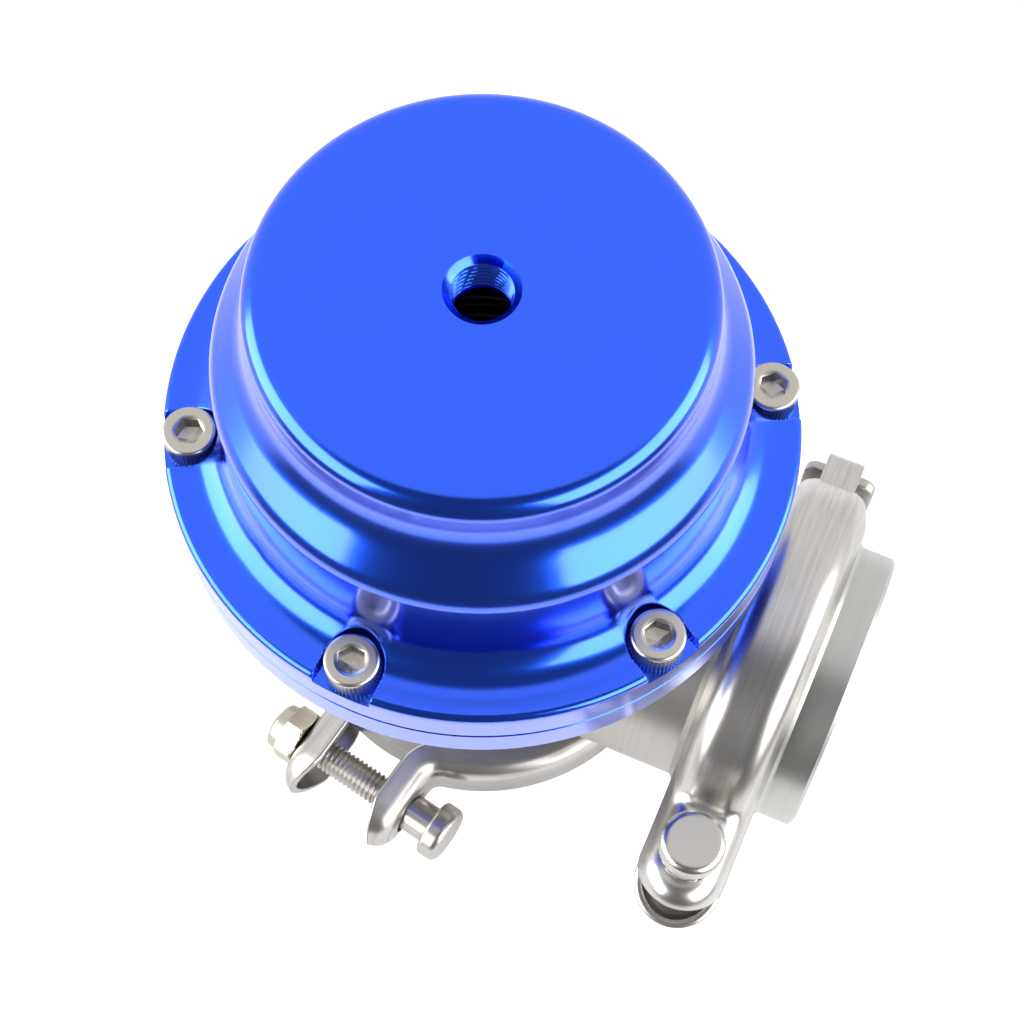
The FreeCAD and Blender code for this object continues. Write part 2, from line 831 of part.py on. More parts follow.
def flange_corners(band):
    """The clamped cone of a flange, as (radius, distance from the mating plane) corners."""
    slope = tangent(size("band_angle"))
    lean = cosine(size("band_angle"))
    inside = size("band_half_width") - (size("band_sheet") + size("flange_face_gap")) / lean
    rim = band - size("band_sheet") - size("flange_rim_gap")
    foot = band - size("flange_depth")
    return ((rim, 0), (rim, inside + (band - rim) * slope), (foot, inside + (band - foot) * slope))


def band_lip():
    """How far a clamp's flared lips stand from its mating plane."""
    return size("band_half_width") + size("band_leg") * tangent(size("band_angle"))


def valve_body():
    """Steel body with the valve chamber and the flange that is clamped on the inlet."""
    barrel = size("barrel_radius")
    flange = size("top_flange_radius")
    shoulder = body_top - size("top_flange_height")
    rim, edge, foot = [(radius, inlet_plane + away) for radius, away in flange_corners(
        size("inlet_band_radius"))]
    body = turned("valve_body", (
        (0, inlet_plane), rim, edge, foot,
        (foot[0], inlet_plane + size("neck_length")),
        (barrel, inlet_plane + size("neck_length") + size("barrel_round")),
        (barrel, shoulder),
        (flange, shoulder),
        (flange, body_top),
        (0, body_top)), (
        ("Fillet", barrel, shoulder, size("barrel_round")),
        ("Fillet", flange, shoulder, size("base_edge")),
    ))
    counterbore = size("seat_radius") + size("seat_fit")
    inner = size("inner_radius")
    boss = roof - size("boss_height")
    before = body.Shape.Volume
    sketch = outline(body, "chamber_profile", "XZ_Plane", [
        corner(0, inlet_plane), corner(counterbore, inlet_plane), corner(counterbore, seat_top),
        corner(inner, seat_top), corner(inner, roof), corner(size("boss_radius"), roof),
        corner(size("boss_radius"), boss), corner(0, boss)])
    turn_about(body, "chamber", sketch, kind="Groove")
    hollow = body.Shape.Volume
    bore = size("branch_bore_radius")
    sketch = outline(body, "branch_hole_profile", "XZ_Plane", [
        corner(inner / 2, 0), corner(flange, 0), corner(flange, bore), corner(inner / 2, bore)],
        lift=size("outlet_height"))
    turn_about(body, "branch_hole", sketch, axis="H_Axis", kind="Groove")
    if not body.Shape.Volume < hollow < before:
        raise RuntimeError("a groove in the valve body cut nothing")
    sketch = ring(body, "guide_hole_outline", "XY_Plane", 0, 0, guide_hole, shift=body_top)
    pocket(body, "guide_hole", sketch, size("roof_thickness") + size("boss_height"))
    hole_ring(body, "base_thread", screw_bore, size("base_screw_circle"), size("base_screw_start"),
              size("base_screw_count"), body_top, size("base_screw_hole_depth"))
    return body


def outlet_branch():
    """Outlet tube with its clamped flange, whose inner end fits round the body's barrel."""
    barrel = size("barrel_radius")
    bore = size("branch_bore_radius")
    branch = size("branch_radius")
    reach = size("branch_relief_reach")
    clamp_top = inlet_plane + band_lip() + size("branch_clearance")
    rim, edge, foot = [(outlet_plane - away, radius) for radius, away in flange_corners(
        size("outlet_band_radius"))]
    inner = barrel / 2
    body = new_body("outlet_branch")
    sketch = outline(body, "branch_profile", "XZ_Plane", [
        corner(inner, bore), corner(size("branch_taper_start"), bore),
        corner(outlet_plane, size("outlet_bore_radius")),
        corner(*rim), corner(*edge), corner(*foot),
        corner(foot[0] - (foot[1] - branch), branch), corner(inner, branch)],
        lift=size("outlet_height"))
    turn_about(body, "branch", sketch, axis="H_Axis")
    gap = size("saddle_gap")
    shoulder = body_top - size("top_flange_height")
    round_radius = size("barrel_round")
    flange = size("top_flange_radius") + gap
    middle = (barrel + round_radius, shoulder - round_radius)
    sketch = outline(body, "saddle_profile", "XZ_Plane", [
        corner(0, 0), corner(reach, 0), corner(reach, clamp_top), corner(barrel + gap, clamp_top),
        corner(barrel + gap, middle[1], "Y"),
        Arc(*middle, round_radius - gap, clockwise=True),
        corner(middle[0], shoulder - gap, "X"),
        corner(flange, shoulder - gap), corner(flange, body_top), corner(0, body_top)])
    before = body.Shape.Volume
    turn_about(body, "saddle", sketch, kind="Groove")
    if body.Shape.Volume > before - 1e-3:
        raise RuntimeError("saddle cut nothing")
    return body


def weld_flange(name, band, tube, bore, tail):
    """Ring that a pipe is welded to, clamped against the body by a band."""
    rim, edge, foot = flange_corners(band)
    body = turned(name, (
        (bore, 0), rim, edge, foot,
        (tube, foot[1] + foot[0] - tube), (tube, tail), (bore, tail)),
        (("Chamfer", tube, tail, size("weld_edge")),))
    return body


class ClampFrame:
    """A band clamp's own axes: X along its bolt, Y from the gap to the hinge, Z on the pipe."""

    def __init__(self, origin, axes, rotation):
        self.origin = origin
        self.axes = axes
        self.rotation = rotation

    def seat(self, item, x=0, y=0, z=0, rotation=None):
        spot = []
        for place in range(3):
            total = as_size(self.origin[place])
            for distance, axis in zip((x, y, z), self.axes):
                total = total + as_size(distance) * as_size(axis[place])
            spot.append(total)
        turn = self.rotation.multiply(rotation) if rotation else self.rotation
        return seat(item, *spot, rotation=turn)


def clamp_frames():
    """Frames of the inlet and the outlet clamp, each turned a little about its pipe."""
    turn = size("inlet_turn")
    inlet = ClampFrame(
        (0, 0, inlet_plane),
        ((cosine(turn), sine(turn), 0), (-sine(turn), cosine(turn), 0), (0, 0, 1)),
        FreeCAD.Rotation(FreeCAD.Vector(0, 0, 1), turn.value))
    turn = size("outlet_turn")
    tilt = FreeCAD.Rotation(FreeCAD.Vector(1, 0, 0), -turn.value)
    outlet = ClampFrame(
        (outlet_plane, 0, size("outlet_height")),
        ((0, sine(turn), cosine(turn)), (0, cosine(turn), -sine(turn)), (-1, 0, 0)),
        tilt.multiply(FreeCAD.Rotation(FreeCAD.Vector(0, 1, 0), -90)))
    return inlet, outlet


def half_channel(face, side):
    """Half of the pressed channel's section, from its web to its lip and back inside.

    The web's outer face is at a distance from the axis, and a round joins it to the flared leg.
    The leg leans by the band's angle, so the round turns by 90 degrees less that angle."""
    lean = size("band_angle")
    outer = size("band_round")
    inner = outer - size("band_sheet")
    leg = size("band_leg")
    flat = size("band_half_width") - outer * tangent((90 - lean) / 2)
    lip = band_lip()
    skin = size("band_sheet") / cosine(lean)
    middle = face - outer
    rising = side > 0
    return [
        corner(face, flat * side, "Y"),
        Arc(middle, flat * side, outer, clockwise=not rising),
        corner(middle + outer * sine(lean), (flat + outer * cosine(lean)) * side, "X"),
        corner(face - leg, lip * side),
        corner(face - leg, (lip - skin) * side),
        corner(middle + inner * sine(lean), (flat + inner * cosine(lean)) * side, "X"),
        Arc(middle, flat * side, inner, clockwise=rising),
        corner(middle + inner, flat * side, "Y"),
    ]


def channel(face):
    """The whole section of the channel, as a closed outline."""
    lower = half_channel(face, -1)
    mirrored = [lower[7], lower[6], lower[5], lower[4], lower[3], lower[2], lower[1], lower[0]]
    for step in (mirrored[1], mirrored[6]):
        step.clockwise = not step.clockwise
    return half_channel(face, 1) + mirrored


def clamp_half(name, frame, band, gap, reach, tip, hole, flipped):
    """Half of a clamp, pressed from one channel: band, hollow bend, cupped ear and hinge tab."""
    body = new_body(name)
    sheet_metal = size("band_sheet")
    ear_face = gap / 2 + size("ear_depth")
    bend = size("ear_bend")
    bend_across = ear_face + bend
    bend_down = root((band + bend) * (band + bend) - bend_across * bend_across)
    bend_angle = 90 - angle_of_sine(bend_across / (band + bend))
    centre = tip - band_lip()
    sketch = outline(body, f"{name}_section", "XZ_Plane", channel(band))
    turn_about(body, f"{name}_gap_side", sketch, angle=bend_angle, reverse=True)
    turn_about(body, f"{name}_hinge_side", sketch, angle=90 - size("hinge_channel_end"))
    tab = size("tab_half_width")
    bar = size("link_bar_place")
    outer = size("curl_radius")
    inner = outer - size("curl_sheet")
    wide = band_lip() + sheet_metal
    for side in (-1, 1):
        sketch = outline(body, f"{name}_taper_{side + 2}_outline", "XZ_Plane", [
            corner(bar, tab * side), corner(bar + outer, tab * side),
            corner(bar + outer + size("hinge_taper"), wide * side), corner(bar, wide * side)])
        pocket(body, f"{name}_taper_{side + 2}", sketch, band + outer)
    sketch = outline(body, f"{name}_bend_section", "XZ_Plane", channel(-bend),
                     shift=bend_down, along=bend_across)
    turn_about(body, f"{name}_bend", sketch, angle=bend_angle, reverse=True)
    sketch = outline(body, f"{name}_ear_section", "XZ_Plane", channel(ear_face), shift=bend_down)
    pad(body, f"{name}_ear", sketch, centre - bend_down)
    sketch = outline(body, f"{name}_tip_section", "XZ_Plane", [
        corner(ear_face, 0), *half_channel(ear_face, 1), corner(ear_face - sheet_metal, 0)],
        shift=centre)
    turn_about(body, f"{name}_tip", sketch, axis="H_Axis", angle=180)
    sketch = ring(body, f"{name}_bolt_hole_outline", "YZ_Plane", -reach, 0, hole,
                  shift=gap / 2)
    pocket(body, f"{name}_bolt_hole", sketch, size("ear_depth") * 2, reverse=True)
    inside = band - sheet_metal
    hinge = band + size("link_offset")
    angle = size("hinge_channel_end") + size("hinge_tab_overlap")
    sketch = outline(body, f"{name}_tab_outline", "XY_Plane", [
        corner(band * sine(angle), band * cosine(angle), "X"),
        Arc(0, 0, band),
        corner(bar + outer, root(band * band - (bar + outer) * (bar + outer)), "X"),
        corner(bar + outer, hinge, "Y"),
        Arc(bar, hinge, outer),
        corner(bar - outer, hinge, "Y"),
        corner(bar - inner, hinge, "Y"),
        Arc(bar, hinge, inner, clockwise=True),
        corner(bar + inner, hinge, "Y"),
        corner(bar + inner, root(inside * inside - (bar + inner) * (bar + inner)), "X"),
        Arc(0, 0, inside, clockwise=True),
        corner(inside * sine(angle), inside * cosine(angle), "X"),
    ])
    pad(body, f"{name}_tab", sketch, tab * 2, both_sides=True)
    spin = FreeCAD.Rotation(FreeCAD.Vector(0, 1, 0), 180) if flipped else None
    return frame.seat(body, rotation=spin)


def clamp_link(name, frame, band):
    """Ring of flat bar that both hinge tabs hook through."""
    body = new_body(name)
    end = size("link_bar_place") + size("link_bar_height") / 2
    inner_end = size("link_bar_place") - size("link_bar_height") / 2
    side = size("link_half_width")
    window = size("tab_half_width") + size("tab_clearance")
    sketch = outline(body, f"{name}_outline", "XZ_Plane", [
        corner(-end, -side), corner(end, -side), corner(end, side), corner(-end, side)])
    feature = pad(body, f"{name}_plate", sketch, size("link_bar_thickness"), both_sides=True)
    names = edges_where(feature, lambda edge: edge.BoundBox.YLength > 1e-3)
    round_edges(body, f"{name}_corners", feature, names, size("link_corner"))
    sketch = outline(body, f"{name}_window_outline", "XZ_Plane", [
        corner(-inner_end, -window), corner(inner_end, -window),
        corner(inner_end, window), corner(-inner_end, window)], shift=size("link_bar_thickness") / 2)
    pocket(body, f"{name}_window", sketch, size("link_bar_thickness"))
    return frame.seat(body, y=band + size("link_offset"))


def clamp_bolt(name, frame, gap, reach):
    """Round-headed bolt that draws the ears together."""
    head = size("bolt_head_height")
    radius = size("bolt_head_radius")
    shank = size("bolt_radius")
    ear = gap / 2 + size("ear_depth")
    length = size("bolt_standoff") + ear * 2 + size("nut_height") + size("nut_collar_height")
    length = length + size("bolt_end")
    body = turned(name, (
        (0, -length), (shank, -length), (shank, 0), (radius, 0), (radius, head), (0, head)), (
        ("Fillet", radius, head, size("bolt_head_round")),
        ("Fillet", radius, 0, size("bolt_head_round") / 2),
        ("Chamfer", shank, -length, size("bolt_end")),
    ))
    return frame.seat(body, x=ear + size("bolt_standoff"), y=-reach,
                      rotation=FreeCAD.Rotation(FreeCAD.Vector(0, 1, 0), 90))


def clamp_nut(name, frame, gap, reach):
    """Locking nut with chamfered corners and a collar, on the bolt's threaded end."""
    height = size("nut_height")
    collar = size("nut_collar_height")
    flat = size("nut_width") / 2
    prism = hexagon(f"{name}_prism", size("nut_width"), height)
    cone = doc.addObject("Part::Cone", f"{name}_cone")
    bind(cone, Radius1=flat + height / tangent(size("nut_bevel")), Radius2=flat, Height=height)
    bevelled = doc.addObject("Part::Common", f"{name}_bevelled")
    bevelled.Base = prism
    bevelled.Tool = cone
    ring_part = cylinder(f"{name}_collar", size("nut_collar_radius"), collar, z=height)
    blank = fuse(f"{name}_blank", [bevelled, ring_part])
    bore = cylinder(f"{name}_bore", size("bolt_radius") + size("thread_clearance"), height + collar)
    nut = cut(name, blank, bore)
    nut.Label = name
    ear = gap / 2 + size("ear_depth") + size("nut_face_gap")
    return frame.seat(nut, x=-ear, y=-reach,
                      rotation=FreeCAD.Rotation(FreeCAD.Vector(0, 1, 0), -90))


def band_clamp(prefix, frame):
    """All pieces of one clamp, whose bolt and ears keep their distances from the band."""
    band = size(f"{prefix}_band_radius")
    gap = size(f"{prefix}_ear_gap")
    reach = band + size(f"{prefix}_bolt_gap")
    tip = reach + size(f"{prefix}_ear_end")
    loose = size("bolt_radius") + size("ear_hole_clearance")
    tight = size("bolt_radius") + size("bolt_hole_clearance")
    return [
        clamp_half(f"{prefix}_clamp_head_half", frame, band, gap, reach, tip, loose, False),
        clamp_half(f"{prefix}_clamp_nut_half", frame, band, gap, reach, tip, tight, True),
        clamp_link(f"{prefix}_clamp_link", frame, band),
        clamp_bolt(f"{prefix}_clamp_bolt", frame, gap, reach),
        clamp_nut(f"{prefix}_clamp_nut", frame, gap, reach),
    ]


def build():
    """Make every sub-part and return them in order."""
    pieces = [
        top_cap(),
        screw_ring("cap_screws", size("cap_screw_count"), cap_screw_circle,
                   size("cap_screw_start"), size("cap_screw_length"), seam + size("pocket_floor")),
        actuator_base(),
        port_plug(),
        screw_ring("base_screws", size("base_screw_count"), size("base_screw_circle"),
                   size("base_screw_start"), size("base_screw_length"), base_screw_seat),
        heat_gasket(),
        diaphragm(),
        diaphragm_plate(),
        spring_cup(),
        stem_nut(),
        coil_spring("spring_outer", spring_radius, size("spring_wire_radius"),
                    size("spring_turns")),
        coil_spring("spring_inner", size("inner_mean_radius"), size("inner_wire_radius"),
                    size("inner_turns")),
        valve_guide(),
        stem_seal(),
        valve(),
        valve_seat(),
        valve_body(),
        outlet_branch(),
    ]
    inlet_tube = size("inlet_band_radius") - size("inlet_tube_drop")
    inlet = weld_flange("inlet_flange", size("inlet_band_radius"), inlet_tube,
                        size("inlet_bore_radius"), size("inlet_tail"))
    down = FreeCAD.Rotation(FreeCAD.Vector(1, 0, 0), 180)
    pieces.append(seat(inlet, z=inlet_plane, rotation=down))
    outlet = weld_flange("outlet_flange", size("outlet_band_radius"), size("outlet_tube_radius"),
                         size("outlet_bore_radius"), size("outlet_tail"))
    sideways = FreeCAD.Rotation(FreeCAD.Vector(0, 1, 0), 90)
    pieces.append(seat(outlet, outlet_plane, 0, size("outlet_height"), sideways))
    inlet_frame, outlet_frame = clamp_frames()
    pieces += band_clamp("inlet", inlet_frame)
    pieces += band_clamp("outlet", outlet_frame)
    return pieces


pieces = build()
doc.recompute()
faults = [item.Name for item in doc.Objects if "Invalid" in item.State or "Error" in item.State]
for piece in pieces:
    if piece.Shape.isNull() or not piece.Shape.isValid():
        faults.append(piece.Label)
if faults:
    raise RuntimeError(f"not built: {faults}")
os.makedirs("parts", exist_ok=True)
for piece in pieces:
    piece.Shape.exportStep(f"parts/{piece.Label}.step")
    print(piece.Label, len(piece.Shape.Solids), round(piece.Shape.Volume))
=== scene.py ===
# %% [markdown]
# # A blue and steel wastegate, piece by piece
# A wastegate lets exhaust gas pass round a turbocharger. A blue anodised cap hides the springs,
# a steel body below holds the valve, and two band clamps hold the pipes' flanges on.
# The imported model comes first, as a fixed frame: every new piece is made in its coordinates,
# in metres, so that nothing has to be fitted afterwards.

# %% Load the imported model
import json
import math

import bmesh
import bpy
import numpy as np
from mathutils import Matrix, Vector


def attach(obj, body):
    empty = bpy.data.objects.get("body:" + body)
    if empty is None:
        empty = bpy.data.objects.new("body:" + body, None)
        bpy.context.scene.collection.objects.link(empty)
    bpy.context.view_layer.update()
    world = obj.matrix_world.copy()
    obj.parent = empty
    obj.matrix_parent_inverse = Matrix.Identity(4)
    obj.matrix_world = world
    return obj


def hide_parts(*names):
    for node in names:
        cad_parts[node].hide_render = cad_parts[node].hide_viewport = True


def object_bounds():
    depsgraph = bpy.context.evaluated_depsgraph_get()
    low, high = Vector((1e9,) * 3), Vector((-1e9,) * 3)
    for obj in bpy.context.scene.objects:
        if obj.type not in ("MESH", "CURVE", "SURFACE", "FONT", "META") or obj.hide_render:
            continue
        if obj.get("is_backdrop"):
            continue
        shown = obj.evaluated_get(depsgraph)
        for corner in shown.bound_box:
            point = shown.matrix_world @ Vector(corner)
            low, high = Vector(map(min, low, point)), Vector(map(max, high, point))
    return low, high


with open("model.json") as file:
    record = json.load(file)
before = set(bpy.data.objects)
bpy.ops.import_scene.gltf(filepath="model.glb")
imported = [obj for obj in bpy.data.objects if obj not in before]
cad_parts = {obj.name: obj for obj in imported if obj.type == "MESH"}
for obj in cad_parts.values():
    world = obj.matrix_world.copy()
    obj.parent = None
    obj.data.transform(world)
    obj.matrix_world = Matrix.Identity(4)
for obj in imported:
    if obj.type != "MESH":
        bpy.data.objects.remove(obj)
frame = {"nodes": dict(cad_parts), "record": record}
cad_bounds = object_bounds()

MM = 0.001
nodes = frame["nodes"]

# %% [markdown]
# ## Camera
# The photograph was taken from above, close to the object, with a long lens. The camera is built
# from the angles at which the cap's round edges turn into the ellipses that the picture shows:
# first the direction from the object back to the camera, then the picture's own right and up,
# turned by the small roll of the camera.

# %% Camera at the photograph's place
SEAM = 92.5 * MM
camera_elevation = math.radians(66.754)
camera_azimuth = math.radians(22.0)
camera_roll = math.radians(1.436)
camera_distance = 328.5 * MM
aim_right, aim_up = 4.66 * MM, -12.37 * MM
focal_length = 71.59


def picture_axes(azimuth, elevation, roll):
    """Right, up and back of a camera: back points at the azimuth and elevation, right is level,
    and both right and up are then turned about back by the roll."""
    back = np.array([math.sin(azimuth) * math.cos(elevation),
                     -math.cos(azimuth) * math.cos(elevation), math.sin(elevation)])
    level = np.array([math.cos(azimuth), math.sin(azimuth), 0.0])
    upright = np.cross(back, level)
    right = math.cos(roll) * level + math.sin(roll) * upright
    up = math.cos(roll) * upright - math.sin(roll) * level
    return right, up, back


def place_camera():
    right, up, back = picture_axes(camera_azimuth, camera_elevation, camera_roll)
    spot = np.array([0.0, 0.0, SEAM]) + back * camera_distance + right * aim_right + up * aim_up
    matrix = Matrix.Identity(4)
    for column, axis in enumerate((right, up, back, spot)):
        for row in range(3):
            matrix[row][column] = axis[row]
    data = bpy.data.cameras.new("camera")
    data.lens = focal_length
    data.clip_start = 0.01
    camera = bpy.data.objects.new("camera", data)
    camera.matrix_world = matrix
    bpy.context.scene.collection.objects.link(camera)
    bpy.context.scene.camera = camera
    print("camera at", np.round(spot, 4))


place_camera()

# %% [markdown]
# ## Surfaces from arrays
# Almost every piece here is turned on a lathe, bent from a strip or cut from a bar, so each is a
# grid of points: one direction runs along a profile, the other round an axis or along a path.
# Numpy works out all the points of a grid at once, and one function turns grids into a mesh,
# joins their common edges and makes all faces point outwards.

# %% Helpers that make grids
def unit(vector):
    return vector / np.linalg.norm(vector)


def rounded_path(corners, radii, arc_steps=8, margin=0.12 * MM):
    """Points of a line whose corners are arcs.

    At a corner that turns by t, an arc of radius R starts R tan(t/2) before the corner and ends
    as far after it, and its centre lies R / cos(t/2) from the corner on the inner side. Each
    straight stretch gets a point a margin from both of its ends, which keeps its shading flat.
    """
    corners = np.asarray(corners, float)
    pieces = [corners[:1]]
    for place in range(1, len(corners) - 1):
        here = corners[place]
        before = unit(here - corners[place - 1])
        after = unit(corners[place + 1] - here)
        radius = radii.get(place, 0.0)
        turn = math.acos(np.clip(before @ after, -1, 1))
        if radius == 0.0 or turn < 1e-6:
            pieces.append(here[None])
            continue
        centre = here + unit(after - before) * radius / math.cos(turn / 2)
        angle = np.linspace(-turn / 2, turn / 2, arc_steps + 1)[:, None]
        pieces.append(centre + radius * (np.cos(angle) * unit(here - centre)
                                         + np.sin(angle) * unit(before + after)))
    pieces.append(corners[-1:])
    points = np.concatenate(pieces)
    step = np.diff(points, axis=0)
    length = np.linalg.norm(step, axis=1)
    along = np.concatenate([[0.0], np.cumsum(length)])
    long = length > 4 * margin
    extra = np.concatenate([along[:-1][long] + margin, along[1:][long] - margin])
    place = np.unique(np.concatenate([along, extra]))
    return np.stack([np.interp(place, along, points[:, axis]) for axis in (0, 1)], -1)


def turned(profile, angles):
    """A profile of (radius, height) points carried round Z: x = r cos a, y = r sin a, z = h."""
    radius, height = np.asarray(profile).T
    return np.stack([radius[:, None] * np.cos(angles), radius[:, None] * np.sin(angles),
                     np.repeat(height[:, None], len(angles), 1)], -1)


def full_turn(count):
    return np.arange(count) * 2 * math.pi / count


def placed(points, origin, axes):
    """Points given along three axes, moved to where the axes' origin is."""
    return np.asarray(origin) + points @ np.asarray(axes, float)


def grid_faces(rows, columns, loop_rows, loop_columns):
    """Four-sided faces between neighbours of a grid; a loop joins its last line to its first."""
    row = np.arange(rows if loop_rows else rows - 1)
    column = np.arange(columns if loop_columns else columns - 1)
    low, left = np.meshgrid(row, column, indexing="ij")
    high, right = (low + 1) % rows, (left + 1) % columns
    corners = (low * columns + left, high * columns + left,
               high * columns + right, low * columns + right)
    return np.stack(corners, -1).reshape(-1, 4)


def make_piece(name, grids, material, body, sharp=38.0, strips=None):
    """A mesh from grids of points, each with its loop_rows and loop_columns, riding on a body.

    A strip gives each of its grid's points a place along and across the sheet, kept as UV."""
    points, faces, start = [], [], 0
    for grid, loop_rows, loop_columns in grids:
        rows, columns = grid.shape[:2]
        points.append(grid.reshape(-1, 3))
        faces.append(grid_faces(rows, columns, loop_rows, loop_columns) + start)
        start += rows * columns
    mesh = bpy.data.meshes.new(name)
    mesh.from_pydata(np.concatenate(points).tolist(), [], np.concatenate(faces).tolist())
    if strips is not None:
        flat = np.concatenate([strip.reshape(-1, 2) for strip in strips])
        layer = mesh.uv_layers.new(name="strip")
        layer.data.foreach_set("uv", flat[np.concatenate(faces).ravel()].ravel())
    shape = bmesh.new()
    shape.from_mesh(mesh)
    bmesh.ops.remove_doubles(shape, verts=shape.verts, dist=0.002 * MM)
    bmesh.ops.dissolve_degenerate(shape, edges=shape.edges, dist=0.001 * MM)
    bmesh.ops.recalc_face_normals(shape, faces=shape.faces)
    shape.to_mesh(mesh)
    shape.free()
    mesh.shade_smooth()
    mesh.set_sharp_from_angle(angle=math.radians(sharp))
    piece = bpy.data.objects.new(name, mesh)
    bpy.context.scene.collection.objects.link(piece)
    mesh.materials.append(material)
    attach(piece, body)
    open_edges = open_edge_count(mesh)
    print(name, len(mesh.polygons), "faces,", open_edges, "open edges")
    return piece


def open_edge_count(mesh):
    """Edges that don't have exactly two faces."""
    loops = np.zeros(len(mesh.loops), np.int64)
    mesh.loops.foreach_get("edge_index", loops)
    return int((np.bincount(loops, minlength=len(mesh.edges)) != 2).sum())


# %% [markdown]
# ## Finishes
# A finish is more than a colour. Turned parts carry fine rings round their axis, polished sheet
# has faint scratches, and everything has slight changes of gloss. Each of these effects is a node
# group that only gives out a value, so that each material can mix it in its own measure and keep
# its shader to itself.

# %% Node groups for lathe marks, scratches and patches
def new_group(name, inputs, outputs):
    group = bpy.data.node_groups.new(name, "ShaderNodeTree")
    for label, kind, value in inputs:
        socket = group.interface.new_socket(label, in_out="INPUT", socket_type=kind)
        if value is not None:
            socket.default_value = value
    for label in outputs:
        group.interface.new_socket(label, in_out="OUTPUT", socket_type="NodeSocketFloat")
    enter = group.nodes.new("NodeGroupInput")
    leave = group.nodes.new("NodeGroupOutput")
    return group, enter, leave


def math_node(nodes_of, operation, *values):
    node = nodes_of.nodes.new("ShaderNodeMath")
    node.operation = operation
    for place, value in enumerate(values):
        if isinstance(value, (int, float)):
            node.inputs[place].default_value = value
        else:
            nodes_of.links.new(value, node.inputs[place])
    return node.outputs[0]


def lathe_marks_group():
    """Rings left by a tool: noise that depends on the radius and the height, not on the angle."""
    group, enter, leave = new_group("lathe_marks", (
        ("Vector", "NodeSocketVector", None), ("Rings", "NodeSocketFloat", 6000.0)), ("Height",))
    split = group.nodes.new("ShaderNodeSeparateXYZ")
    group.links.new(enter.outputs["Vector"], split.inputs[0])
    squares = [math_node(group, "MULTIPLY", split.outputs[axis], split.outputs[axis]) for axis in (0, 1)]
    radius = math_node(group, "SQRT", math_node(group, "ADD", *squares))
    join = group.nodes.new("ShaderNodeCombineXYZ")
    group.links.new(radius, join.inputs[0])
    group.links.new(split.outputs[2], join.inputs[1])
    noise = group.nodes.new("ShaderNodeTexNoise")
    noise.inputs["Detail"].default_value = 2.0
    noise.inputs["Roughness"].default_value = 0.6
    group.links.new(join.outputs[0], noise.inputs["Vector"])
    group.links.new(enter.outputs["Rings"], noise.inputs["Scale"])
    group.links.new(noise.outputs[0], leave.inputs["Height"])
    return group


def patches_group():
    """Slow changes of gloss, as noise, and rare small specks, as noise above a threshold."""
    group, enter, leave = new_group("patches", (
        ("Vector", "NodeSocketVector", None), ("Size", "NodeSocketFloat", 60.0),
        ("Specks", "NodeSocketFloat", 2500.0)), ("Patches", "Specks"))
    slow = group.nodes.new("ShaderNodeTexNoise")
    slow.inputs["Detail"].default_value = 4.0
    group.links.new(enter.outputs["Vector"], slow.inputs["Vector"])
    group.links.new(enter.outputs["Size"], slow.inputs["Scale"])
    group.links.new(slow.outputs[0], leave.inputs["Patches"])
    cells = group.nodes.new("ShaderNodeTexNoise")
    cells.inputs["Detail"].default_value = 1.0
    group.links.new(enter.outputs["Vector"], cells.inputs["Vector"])
    group.links.new(enter.outputs["Specks"], cells.inputs["Scale"])
    above = math_node(group, "SUBTRACT", cells.outputs[0], 0.74)
    grown = math_node(group, "MULTIPLY", above, 14.0)
    held = math_node(group, "MINIMUM", math_node(group, "MAXIMUM", grown, 0.0), 1.0)
    group.links.new(held, leave.inputs["Specks"])
    return group


def scratches_group():
    """Fine lines from polishing: noise on coordinates that are squeezed along one direction."""
    group, enter, leave = new_group("scratches", (
        ("Vector", "NodeSocketVector", None), ("Fineness", "NodeSocketFloat", 900.0),
        ("Stretch", "NodeSocketFloat", 0.06)), ("Height",))
    split = group.nodes.new("ShaderNodeSeparateXYZ")
    group.links.new(enter.outputs["Vector"], split.inputs[0])
    squeezed = math_node(group, "MULTIPLY", split.outputs[0], enter.outputs["Stretch"])
    join = group.nodes.new("ShaderNodeCombineXYZ")
    group.links.new(squeezed, join.inputs[0])
    group.links.new(split.outputs[1], join.inputs[1])
    group.links.new(split.outputs[2], join.inputs[2])
    noise = group.nodes.new("ShaderNodeTexNoise")
    noise.inputs["Detail"].default_value = 5.0
    noise.inputs["Roughness"].default_value = 0.7
    group.links.new(join.outputs[0], noise.inputs["Vector"])
    group.links.new(enter.outputs["Fineness"], noise.inputs["Scale"])
    group.links.new(noise.outputs[0], leave.inputs["Height"])
    return group


lathe_marks = lathe_marks_group()
patches = patches_group()
scratches = scratches_group()
print("node groups", [group.name for group in bpy.data.node_groups])

# %% [markdown]
# ## One recipe for metals
# Anodised aluminium, stainless steel and plated steel differ in colour, gloss and marks, but the
# way their nodes are put together is the same. The recipe takes the constants straight to the
# shader's own sockets, and lets the groups change roughness, colour and the surface's height. On
# some steels the colour change along the marks is painted reflection, in streaks.

# %% Materials
def ranged(nodes_of, value, low, high):
    """Map a value of 0 to 1 to low to high."""
    return math_node(nodes_of, "ADD", math_node(nodes_of, "MULTIPLY", value, high - low), low)


def coordinate(tree, centre, turn, use_uv):
    source = tree.nodes.new("ShaderNodeUVMap" if use_uv else "ShaderNodeTexCoord")
    mapping = tree.nodes.new("ShaderNodeMapping")
    mapping.vector_type = "TEXTURE"
    mapping.inputs["Location"].default_value = centre
    mapping.inputs["Rotation"].default_value = turn
    tree.links.new(source.outputs["UV" if use_uv else "Object"], mapping.inputs["Vector"])
    return mapping.outputs[0]


